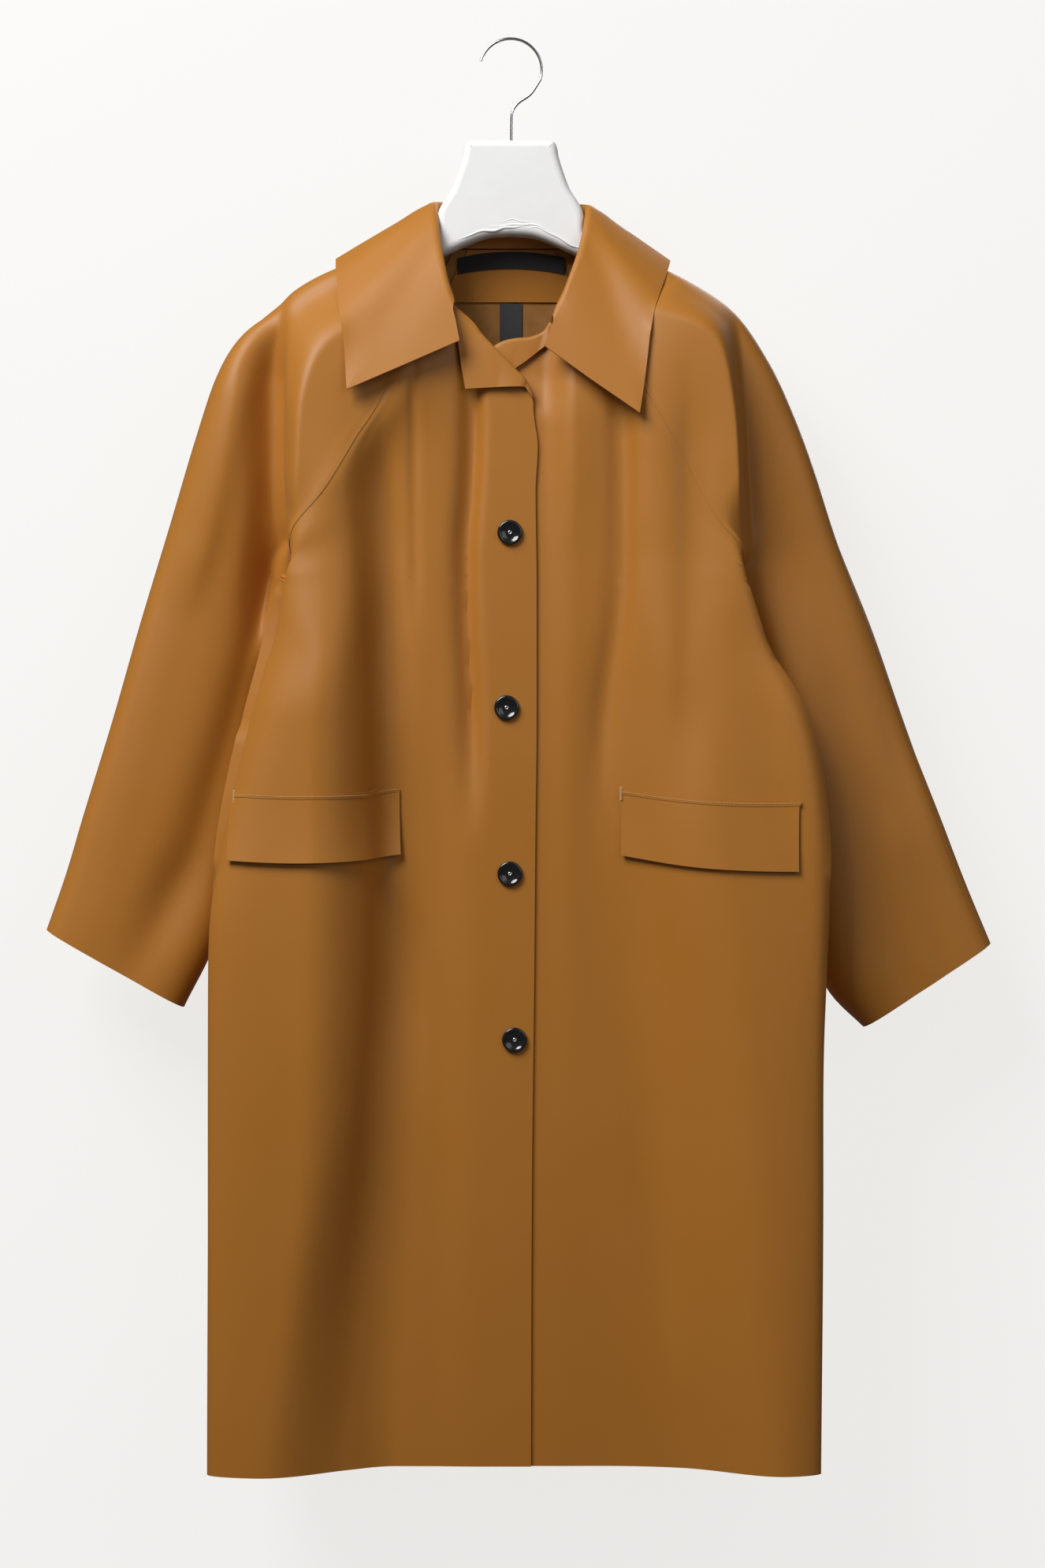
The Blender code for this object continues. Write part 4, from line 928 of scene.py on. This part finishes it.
def add_beads(name, beads, swells, radius, finish):
    """Closed beads of thread, each from its rings' centres and two directions across it."""
    points, faces = [], []
    angles = np.linspace(0, 2 * math.pi, STITCH_SIDES + 1)[:-1, None]
    for middles, one_way, other_way in beads:
        first = len(points)
        ring = one_way * np.cos(angles) + other_way * np.sin(angles)
        for middle, swell in zip(middles, swells):
            points += list(middle + radius * swell * ring)
        rings = [list(range(n, n + STITCH_SIDES)) for n in range(first, len(points), STITCH_SIDES)]
        faces += [rings[0][::-1], rings[-1]]
        for one, two in zip(rings, rings[1:]):
            faces += [[one[n - 1], one[n], two[n], two[n - 1]] for n in range(STITCH_SIDES)]
    return add_mesh(name, np.array(points), faces, [finish])


def add_stitches(name, path, normals, finish):
    """A row of thread stitches along a path, each a slim bead sunk at both ends."""
    run = length_along(path)
    shares, swells = np.array(STITCH_SECTIONS).T
    beads = []
    for start in np.arange(STITCH_PITCH / 2, run[-1] - STITCH_LENGTH, STITCH_PITCH):
        ends = read(path, run, [start, start + STITCH_LENGTH])
        up = unit(read(normals, run, start + STITCH_LENGTH / 2))
        rises = STITCH_RADIUS * (swells - STITCH_SUNK)
        middles = ends[0] + (ends[1] - ends[0]) * shares[:, None] + up * rises[:, None]
        beads.append((middles, np.cross(unit(ends[1] - ends[0]), up), up))
    return add_beads(name, beads, swells, STITCH_RADIUS, finish)


def add_bartack(name, corner, finish):
    """Threads laid side by side down a short bar."""
    beads = []
    for n, rise in enumerate(BARTACK_RISES):
        place = corner + (0, -BARTACK_OUT, rise)
        step = np.array([BARTACK_HALF_WIDTH, 0, BARTACK_SLANT * (-1) ** n])
        middles = np.linspace(place - step, place + step, len(BARTACK_SWELLS))
        beads.append((middles, np.array([0, 1, 0]), np.array([0, 0, 1])))
    return add_beads(name, beads, BARTACK_SWELLS, BARTACK_RADIUS, finish)


# ---------------------------------------------------------------- materials

def new_material(name, roughness, metallic=0.0, specular=0.5, sheen=0.0):
    made = bpy.data.materials.new(name)
    made.use_nodes = True
    nodes = made.node_tree.nodes
    shader = nodes["Principled BSDF"]
    shader.inputs["Roughness"].default_value = roughness
    shader.inputs["Metallic"].default_value = metallic
    shader.inputs["Specular IOR Level"].default_value = specular
    shader.inputs["Sheen Weight"].default_value = sheen
    shader.inputs["Sheen Roughness"].default_value = 0.5
    return made, shader


def noise(made, scale, detail=2.0, stretch=(1, 1, 1)):
    """A noise texture in metres, `scale` cells to the metre."""
    nodes, links = made.node_tree.nodes, made.node_tree.links
    place = nodes.new("ShaderNodeTexCoord")
    mapping = nodes.new("ShaderNodeMapping")
    mapping.inputs["Scale"].default_value = stretch
    texture = nodes.new("ShaderNodeTexNoise")
    texture.inputs["Scale"].default_value = scale
    texture.inputs["Detail"].default_value = detail
    links.new(place.outputs["Object"], mapping.inputs["Vector"])
    links.new(mapping.outputs["Vector"], texture.inputs["Vector"])
    return texture.outputs["Fac"]


def mapped(made, source, low, high, from_low=0.3, from_high=0.7):
    node = made.node_tree.nodes.new("ShaderNodeMapRange")
    node.inputs["From Min"].default_value, node.inputs["From Max"].default_value = from_low, from_high
    node.inputs["To Min"].default_value, node.inputs["To Max"].default_value = low, high
    made.node_tree.links.new(source, node.inputs["Value"])
    return node.outputs["Result"]


def tinted(made, shader, share, colours):
    """Colours the material between two, by an output."""
    node = made.node_tree.nodes.new("ShaderNodeMix")
    node.data_type = "RGBA"
    for place, colour in zip((6, 7), colours):  # the sockets A and B for colours
        node.inputs[place].default_value = (*colour, 1)
    made.node_tree.links.new(share, node.inputs[0])
    made.node_tree.links.new(node.outputs[2], shader.inputs["Base Color"])


def grained(made, shader, colours, *grain, spread=(0.3, 0.7)):
    """Colours the material between two, by a noise of this grain."""
    tinted(made, shader, mapped(made, noise(made, *grain), 0, 1, *spread), colours)


def bumped(made, shader, *layers):
    """Bump from (output, distance in millimetres) layers, one on another."""
    nodes, links = made.node_tree.nodes, made.node_tree.links
    previous = None
    for source, distance in layers:
        bump = nodes.new("ShaderNodeBump")
        bump.inputs["Distance"].default_value = distance * MM
        links.new(source, bump.inputs["Height"])
        if previous:
            links.new(previous, bump.inputs["Normal"])
        previous = bump.outputs["Normal"]
    links.new(previous, shader.inputs["Normal"])


def weave(made, threads):
    """A plain weave's height: warp and weft waves, `threads` to the metre."""
    nodes, links = made.node_tree.nodes, made.node_tree.links
    place = nodes.new("ShaderNodeTexCoord")
    heights = []
    for direction in ("X", "Z"):
        wave = nodes.new("ShaderNodeTexWave")
        wave.bands_direction = direction
        wave.inputs["Scale"].default_value = threads * WAVE_BANDS
        links.new(place.outputs["Object"], wave.inputs["Vector"])
        heights.append(wave.outputs["Fac"])
    add = nodes.new("ShaderNodeMath")
    add.operation = "MAXIMUM"
    links.new(heights[0], add.inputs[0])
    links.new(heights[1], add.inputs[1])
    return add.outputs[0]


def coat_materials():
    """The rubbered outside, the cotton inside and the raw cut edge."""
    rubber, shader = new_material("coat_rubber", RUBBER_ROUGHNESS, specular=RUBBER_SPECULAR, sheen=0.05)
    grained(rubber, shader, RUBBER_COLOURS, 5, 3, (1, 1, 0.35), spread=(0.25, 0.75))
    gloss = mapped(rubber, noise(rubber, 14, 3), RUBBER_ROUGHNESS - 0.04, RUBBER_ROUGHNESS + 0.05)
    rubber.node_tree.links.new(gloss, shader.inputs["Roughness"])
    bumped(rubber, shader, (noise(rubber, 35, 2, (1, 1, 0.4)), 0.25), (noise(rubber, 1400, 1), 0.02))
    backing, shader = new_material("coat_backing", 0.8, specular=0.2)
    grained(backing, shader, BACKING_COLOURS, 90, 3)
    bumped(backing, shader, (weave(backing, 1100), 0.12))
    edge, shader = new_material("coat_cut_edge", 0.6, specular=0.3)
    grained(edge, shader, EDGE_COLOURS, 400, 2)
    return rubber, backing, edge


def thread_material():
    made, shader = new_material("thread_camel", 0.55, specular=0.4, sheen=0.3)
    grained(made, shader, THREAD_COLOURS, 2500, 1)
    bumped(made, shader, (noise(made, 3000, 1), 0.05))
    return made


def woven_material(name, colours, threads):
    made, shader = new_material(name, 0.75, specular=0.25, sheen=0.2)
    height = weave(made, threads)
    tinted(made, shader, height, colours)
    bumped(made, shader, (height, 0.15))
    return made


def button_material():
    made, shader = new_material("button_black", 0.13, specular=0.6)
    grained(made, shader, BUTTON_COLOURS, 60, 2)
    shader.inputs["Coat Weight"].default_value = 0.4
    shader.inputs["Coat Roughness"].default_value = 0.05
    return made


def metal_material(name, colour, roughness):
    made, shader = new_material(name, roughness, metallic=1.0)
    grained(made, shader, (colour, tuple(c * METAL_DULLER for c in colour)), 900, 2)
    return made


def hanger_material():
    """White cotton drawn over the hanger, with fine wrinkles all over it."""
    made, shader = new_material("hanger_white", 0.7, specular=0.3, sheen=0.15)
    grained(made, shader, HANGER_COLOURS, 40, 3)
    bumped(made, shader, (noise(made, 30, 2, (1, 1, 2)), 0.35), (weave(made, 900), 0.05))
    return made


# ---------------------------------------------------------------- pieces

def coat_panels():
    panels, faces = {}, {}
    for side in SIDES:
        faces[side] = {"front": face_of(front_section, side), "back": face_of(back_section, side)}
        panels["front_" + side] = front_panel(side, faces[side]["front"])
        panels["back_" + side] = back_panel(side, faces[side]["back"])
        panels["sleeve_front_" + side], panels["sleeve_back_" + side] = sleeve_panels(side, faces[side])
        for where in ("front_", "back_"):  # the seams are shared exactly
            panels["sleeve_" + where + side][:TOP_ROWS, -1] = panels[where + side][:TOP_ROWS, -1]
    return panels, faces


def creased(panels):
    """All panels as one cloth, creased: by name (points, directions, whether its faces turn round)."""
    points, faces, starts, turned = [], [], {}, {}
    count = 0
    for name, grid in panels.items():
        body = grid[:, LAPEL_COLUMNS:] if name.startswith("front") else grid
        turned[name] = facing_out(body, (0, -1, 0) if "front" in name else (0, 1, 0)) is not body
        points.append(grid.reshape(-1, 3))
        faces.append(quads(grid, turned[name]) + count)
        starts[name] = count
        count += len(points[-1])
    points, faces = np.concatenate(points), np.concatenate(faces)
    twin = weld(points)
    points = softened(points, faces, twin)
    normals = point_normals(points, faces, twin)
    depths = [crease_depth(points, table) for table in (CREASES_FRONT, CREASES_BACK)]
    points = points + normals * np.where(normals[:, 1] < FORWARD, *depths)[twin][:, None]
    normals = point_normals(points, faces, twin)
    cloth = {}
    for name, grid in panels.items():
        place = slice(starts[name], starts[name] + grid[..., 0].size)
        cloth[name] = (points[place].reshape(grid.shape), normals[place].reshape(grid.shape), turned[name])
    return cloth


def softened(points, faces, twin):
    """The cloth smoothed round each spot in SOFT_SPOTS, most at its middle."""
    weight = np.zeros(len(points))
    for spot in SOFT_SPOTS:
        gap = np.linalg.norm((points - spot[:3]) / spot[3:], axis=1)
        weight = np.maximum(weight, 1 - ease(gap))
    joined = twin[faces]
    joined = joined[(weight[joined] > 0).any(axis=1)]
    pairs = np.concatenate([joined[:, [n, (n + 1) % 4]] for n in range(4)])
    pairs = np.unique(np.sort(pairs[pairs[:, 0] != pairs[:, 1]], axis=1), axis=0)
    used, pairs = np.unique(pairs.reshape(-1), return_inverse=True)
    pairs = pairs.reshape(-1, 2)
    both = np.concatenate([pairs, pairs[:, ::-1]])
    share = np.bincount(both[:, 0], minlength=len(used))
    step = (weight[used] * (share > 2) * SOFT_STEP)[:, None]  # corners stay
    soft = points[used]
    for _ in range(SOFT_ROUNDS):
        total = [np.bincount(both[:, 0], soft[both[:, 1], i], len(used)) for i in range(3)]
        soft = soft + (np.stack(total, axis=-1) / share[:, None] - soft) * step
    points = points.copy()
    points[used] = soft
    return points[twin]


def laps_of(name, rows):
    """A panel's laps: the end column, the neighbour under it, and the lap's share at each row."""
    kind, side = name.rsplit("_", 1)
    beyond = (np.arange(rows) - TOP_ROWS + 1) / LAP_TAPER_ROWS
    above, below, whole = ease(-beyond), ease(beyond), np.ones(rows)
    return {
        "sleeve_front": [(-1, "front_" + side, above), (0, "sleeve_back_" + side, whole)],
        "sleeve_back": [(-1, "back_" + side, above)],
        "front": [(-1, "back_" + side, below)],
        "back": [(0, "back_right", whole)] if side == "left" else [],
    }[kind]


def lapped(name, cloth):
    """The panel with its laps: points, directions, and how far each is raised."""
    parts = [*cloth[name][:2], np.zeros(cloth[name][0].shape[:2])]
    for end, neighbour, wide in laps_of(name, len(parts[0])):
        away = slice(None, None, -1 if end else 1)  # puts the seam's column first
        grid, aim, lift = (part[:, away] for part in parts)
        under, under_aim = (part[:, away][:, :LAP_COLUMNS] for part in cloth[neighbour][:2])
        lap, lap_aim = (np.repeat(part[:, :1], len(LAP_STEPS), axis=1) for part in (grid, aim))
        near = np.zeros(lift.shape)
        for row in np.flatnonzero(wide[: len(under)] > 0):
            run = length_along(under[row])
            at = np.array(LAP_STEPS) * wide[row]
            lap[row] = read(under[row], run, at)
            lap_aim[row] = read(under_aim[row], run, at)
            near[row] = wide[row] * (1 - ease(length_along(grid[row]) / LAP_RISE))
        lap_lift = np.repeat(wide[:, None], len(LAP_STEPS), axis=1)
        pairs = (lap[:, ::-1], grid), (unit(lap_aim)[:, ::-1], aim), (lap_lift, np.maximum(lift, near))
        parts = [np.concatenate(pair, axis=1)[:, away] for pair in pairs]
    return parts


def build_panels(cloth, materials):
    """The eight panels, each with its laps."""
    for name, (_, _, turned) in cloth.items():
        grid, aim, lift = lapped(name, cloth)
        points, lift = grid.reshape(-1, 3), lift.reshape(-1)
        faces, sources = clean_faces(quads(grid, turned), weld(points))
        rubbered = ()
        if name.startswith("front"):  # the front edge is faced with the same rubber inside
            columns = np.array(sources) % (grid.shape[1] - 1)
            rubbered = np.flatnonzero(columns < LAPEL_COLUMNS + FACED_COLUMNS)
        wall, raised = WALL - (WALL - LAP_WALL) * lift, LAP_LIFT * lift
        aim = aim.reshape(-1, 3)
        sides = {"raised": raised, "inside_rubber": rubbered, "nodes": [name]}
        made = add_wall("cloth_" + name, points, faces, aim, wall, materials, **sides)


def build_collar(cloth, materials):
    """The collar, sewn to the neckline, with its leaf resting on the panels."""
    halves = [collar_half(side, cloth) for side in SIDES]
    collar = np.concatenate([halves[0], halves[1][::-1][1:]]).transpose(1, 0, 2)
    under = [[], []]
    for name, parts in cloth.items():
        skip = LAPEL_COLUMNS if name.startswith("front") else 0
        for kept, part in zip(under, parts):
            kept.append(part[::2, skip::2].reshape(-1, 3))
    collar = rest_leaf(collar, *(np.concatenate(kept) for kept in under))
    made = add_laid("cloth_collar", collar, WALL, 0.0, None, materials, nodes=["collar"])


def flap_grid(side, face):
    """A flap's grid, from its sewn top edge down to its free edge, which stands off."""
    in_x, in_z, out_x, out_z, in_depth, out_depth = FLAPS[side]
    across, down = np.meshgrid(np.linspace(0, 1, FLAP_COLUMNS), np.linspace(0, 1, FLAP_ROWS))
    x = in_x + (out_x - in_x) * across
    sag = FLAP_SAG * np.sin(math.pi * across)
    z = in_z + (out_z - in_z) * across - sag - (in_depth + (out_depth - in_depth) * across) * down
    lift = FLAP_LIFT[side] * down**2 * (1 + (1 - across) ** 2)
    place, out = on_cloth(face, np.column_stack([x.ravel(), z.ravel()]))
    return (place + out * lift.reshape(-1, 1)).reshape(*lift.shape, 3)


def build_flaps(faces, materials):
    thread = thread_material()
    raised = WALL + LAY + FACET_CLEAR
    for side in FLAPS:
        name = "pocket_flap_" + side
        face = faces[side]["front"]
        grid = flap_grid(side, face)
        made = add_laid("cloth_" + name, grid, WALL, raised, (0, -1, 0), materials, nodes=[name])
        edge = grid[0][:, (0, 2)]
        band = np.array([on_cloth(face, edge + (0, rise))[0] for rise in WELT_RISES])
        welt = add_laid(f"flap_welt_{side}", band, WELT_WALL, raised + WELT_LIFT, (0, -1, 0), materials)
        path, out = on_cloth(face, edge + (0, WELT_SEWN))
        path = path + out * (raised + WELT_LIFT + STITCH_LIFT)
        stitches = add_stitches(f"flap_stitches_{side}", path, out, thread)
        corner = path[-1 if side == "right" else 0]
        tack = add_bartack(f"flap_bartack_{side}", corner, thread)


def back_strip(faces, half_width, middle, top, bottom, columns, rows, dip):
    """Points of the back's face, for trim that lies on its inside."""
    strip = []
    for z in np.linspace(top, bottom, rows):
        half = half_width or spots(faces["left"]["back"], z, 1.0)[0] - FACING_IN
        row = []
        for x in np.linspace(middle - half, middle + half, columns):
            face = faces["left" if x > 0 else "right"]["back"]
            row.append(at_x(face, x, z - dip * ((x - middle) / half) ** 2))
        strip.append(row)
    strip = np.array(strip)
    strip[..., 1] += crease_depth(strip.reshape(-1, 3), CREASES_BACK).reshape(strip.shape[:2])
    return strip


def build_back_trim(faces, rubber):
    inside = -(WALL + LAY + TRIM_CLEAR)
    over_facing = inside - FACING_WALL - LAY
    black = [woven_material("label_black", LABEL_COLOURS, 1500)] * 3
    grey = [woven_material("tape_grey", TAPE_COLOURS, 1200)] * 3
    for name, strip, wall, lift, finishes, slot in (
        ("neck_facing", NECK_FACING, FACING_WALL, inside, rubber, "coat_rubber"),
        ("label", LABEL, LABEL_WALL, over_facing, black, "label_black"),
        ("back_tape", BACK_TAPE, TAPE_WALL, inside, grey, "tape_grey"),
    ):
        grid = back_strip(faces, *strip)
        made = add_laid("cloth_" + name, grid, wall, lift, (0, 1, 0), finishes, nodes=[name], slot=slot)


def add_turned(name, profile, finish, place, nodes=()):
    """A round piece that faces forwards, turned from its profile of radius and height."""
    mesh = bpy.data.meshes.new(name)
    points = [(radius * MM, 0, height * MM) for radius, height in profile]
    mesh.from_pydata(points, [(n, n + 1) for n in range(len(points) - 1)], [])
    mesh.materials.append(finish)
    made = add_object(name, mesh, nodes, place, FORWARDS)
    turned = made.modifiers.new("turned", "SCREW")
    turned.steps = turned.render_steps = BUTTON_SIDES
    turned.use_merge_vertices = True
    turned.merge_threshold = WELD_TURNED
    turned.use_smooth_shade = True


def build_buttons(faces):
    black = button_material()
    bright = metal_material("eyelet_steel", EYELET_COLOUR, 0.18)
    front = faces["right"]["front"]
    round_it = (-BUTTON_SEAT, 0, BUTTON_SEAT)
    for number, (x, z) in enumerate(BUTTONS, 1):
        seat = min(at_x(front, x + dx, z + dz)[1] for dx in round_it for dz in round_it) - LAY
        place = (x * MM, seat * MM, z * MM)
        button = [f"button_{number}"]
        add_turned(f"button_face_{number}", BUTTON_SMOOTH, black, place, button)
        add_turned(f"button_eyelet_{number}", EYELET, bright, place)


def hanger_outline(faces):
    """The hanger's outline: down the neck, out under the shoulder and back under the arch."""
    halves = []
    for side, sign in SIDES.items():
        neck = through(np.array(HANGER_NECK, float) * (sign, 1), HANGER_POINTS)
        ridge = sleeve_rows(side, faces[side])[0][HANGER_ROWS, :3] * (1, 0, 1)
        shoulder = along(ridge, np.linspace(0, 1, SHOULDER_POINTS))
        slope = unit(np.gradient(shoulder, axis=0))
        down = np.cross((0, sign, 0), slope)
        shoulder = shoulder + down * (WALL + LAY + HANGER_UNDER)
        tip = [(shoulder[-1][0] + sign * x, shoulder[-1][2] + z) for x, z in HANGER_TIP]
        arch = through(np.array([*HANGER_ARCH, (0, HANGER_MIDDLE_Z)], float) * (sign, 1), HANGER_POINTS)
        halves.append([*neck.tolist(), *[(x, z) for x, _, z in shoulder], *tip, *arch.tolist()])
    return halves[0][::-1] + halves[1][:-1]


def new_curve(name, routes, finish, radius, steps, plane="3D"):
    """Lines through the routes' points, with a round section of this radius."""
    curve = bpy.data.curves.new(name, "CURVE")
    curve.dimensions = plane
    curve.bevel_depth, curve.bevel_resolution = radius * MM, steps
    curve.materials.append(finish)
    for route in routes:
        spline = curve.splines.new("POLY")
        spline.points.add(len(route) - 1)
        for point, place in zip(spline.points, route):
            point.co = (*(value * MM for value in place), 1)
    return curve


def build_hanger(faces):
    finish = hanger_material()
    outline = [(x, z, 0) for x, z in hanger_outline(faces)]
    curve = new_curve("hanger_outline", [outline], finish, HANGER_ROUND, 6, "2D")
    curve.fill_mode = "BOTH"
    curve.extrude = (HANGER_HALF_DEPTH - HANGER_ROUND) * MM
    curve.offset = -HANGER_ROUND * MM
    curve.splines[0].use_cyclic_u = True
    add_object("hanger_cover", curve, ["hanger_body"], turn=FORWARDS)
    build_gathers(finish)


def build_gathers(finish):
    """The cover's cloth, gathered in soft ridges along the front of the arch."""
    arch = np.array([*HANGER_ARCH[1:], (0, HANGER_MIDDLE_Z)], float)
    arch = np.concatenate([arch * (-1, 1), arch[-2::-1]])
    routes, swells = [], []
    for rise, first, last, wobble, radius in GATHERS:
        at = np.linspace(first, last, GATHER_POINTS) * (len(arch) - 1)
        x, z = glide(at, np.arange(len(arch)), arch).T
        shares = np.arange(GATHER_POINTS) / (GATHER_POINTS - 1)
        z = z + rise
        for height, part, angle in GATHER_WAVES:
            z = z + height * np.sin(part * wobble + angle * shares)
        out = np.full(GATHER_POINTS, -(HANGER_HALF_DEPTH + GATHER_OUT))
        routes.append(np.column_stack([x, out, z]))
        swells.append(radius * np.sqrt(np.maximum(np.sin(math.pi * shares), 0)))
    curve = new_curve("hanger_gathers", routes, finish, 1, 4)
    for spline, swell in zip(curve.splines, swells):
        spline.points.foreach_set("radius", swell)
    add_object("hanger_gathers", curve)


def build_hook():
    radius = HOOK_INNER_RADIUS + HOOK_WIRE
    turn = np.radians(np.linspace(HOOK_FIRST, HOOK_LAST, HOOK_BOW_POINTS))
    bow = np.column_stack([radius * np.cos(turn), radius * np.sin(turn) - HOOK_INNER_RADIUS])
    down = np.linspace(0, 1, HOOK_TAIL_POINTS)[1:]
    tail = glide(down, HOOK_TAIL_SHARES, [bow[-1], *HOOK_TAIL])
    route = [*bow, *tail, (HOOK_TAIL[-1][0], HANGER_NECK[0][1] + LAY)]
    chrome = metal_material("hook_chrome", HOOK_COLOUR, 0.16)
    curve = new_curve("hook_wire", [[(x, 0, z) for x, z in route]], chrome, HOOK_WIRE, 6)
    curve.use_fill_caps = True
    add_object("hook_wire", curve, ["hanger_hook"])


# ---------------------------------------------------------------- studio

def one_sided(name, colour, glow):
    """A pale matt surface that is clear from behind."""
    made = bpy.data.materials.new(name)
    made.use_nodes = True
    nodes, links = made.node_tree.nodes, made.node_tree.links
    shader = nodes["Principled BSDF"]
    shader.inputs["Base Color"].default_value = (PAPER_MATT, PAPER_MATT, PAPER_MATT, 1)
    shader.inputs["Roughness"].default_value = 0.9
    shader.inputs["Specular IOR Level"].default_value = 0.0
    shader.inputs["Emission Color"].default_value = (*colour, 1)
    shader.inputs["Emission Strength"].default_value = glow
    side = nodes.new("ShaderNodeNewGeometry")
    clear = nodes.new("ShaderNodeBsdfTransparent")
    mix = nodes.new("ShaderNodeMixShader")
    links.new(side.outputs["Backfacing"], mix.inputs["Fac"])
    links.new(shader.outputs["BSDF"], mix.inputs[1])
    links.new(clear.outputs["BSDF"], mix.inputs[2])
    links.new(mix.outputs["Shader"], nodes["Material Output"].inputs["Surface"])
    return made


def build_studio():
    """A wall close behind the coat and a floor below it, seen from their front only."""
    for name, location, turn, size, glow in STAGE:
        bpy.ops.mesh.primitive_plane_add(size=size, location=location, rotation=turn)
        plane = bpy.context.object
        plane.name = name
        plane.data.materials.append(one_sided(name, PAPER, glow))
        for kind in ("diffuse", "glossy", "transmission", "volume_scatter", "shadow"):
            setattr(plane, "visible_" + kind, False)


def build_lights():
    for name, location, aim, size, energy in LIGHTS:
        data = bpy.data.lights.new(name, "AREA")
        data.shape = "RECTANGLE"
        data.size, data.size_y = size
        data.energy = energy
        lamp = bpy.data.objects.new(name, data)
        bpy.context.scene.collection.objects.link(lamp)
        lamp.location = location
        lamp.rotation_euler = (Vector(aim) - Vector(location)).to_track_quat("-Z", "Y").to_euler()
    world = bpy.data.worlds.new("studio")
    bpy.context.scene.world = world
    world.use_nodes = True
    world.node_tree.nodes["Background"].inputs["Color"].default_value = (1.0, 0.99, 0.975, 1)
    world.node_tree.nodes["Background"].inputs["Strength"].default_value = WORLD


def build_camera():
    data = bpy.data.cameras.new("camera")
    data.sensor_width = SENSOR
    data.lens = SENSOR * CAMERA_AWAY / (PHOTO_HEIGHT * PHOTO_SCALE)
    camera = bpy.data.objects.new("camera", data)
    bpy.context.scene.collection.objects.link(camera)
    camera.location = (CAMERA_X * MM, -CAMERA_AWAY * MM, CAMERA_Z * MM)
    camera.rotation_euler = FORWARDS
    bpy.context.scene.camera = camera
    bpy.context.scene.view_settings.view_transform = "Standard"


def main():
    build_camera()
    build_studio()
    build_lights()
    materials = coat_materials()
    panels, faces = coat_panels()
    cloth = creased(panels)
    build_panels(cloth, materials)
    both = (materials[0], materials[0], materials[2])  # rubber on both sides
    build_collar(cloth, both)
    build_flaps(faces, materials)
    build_back_trim(faces, both)
    build_buttons(faces)
    build_hanger(faces)
    build_hook()


main()
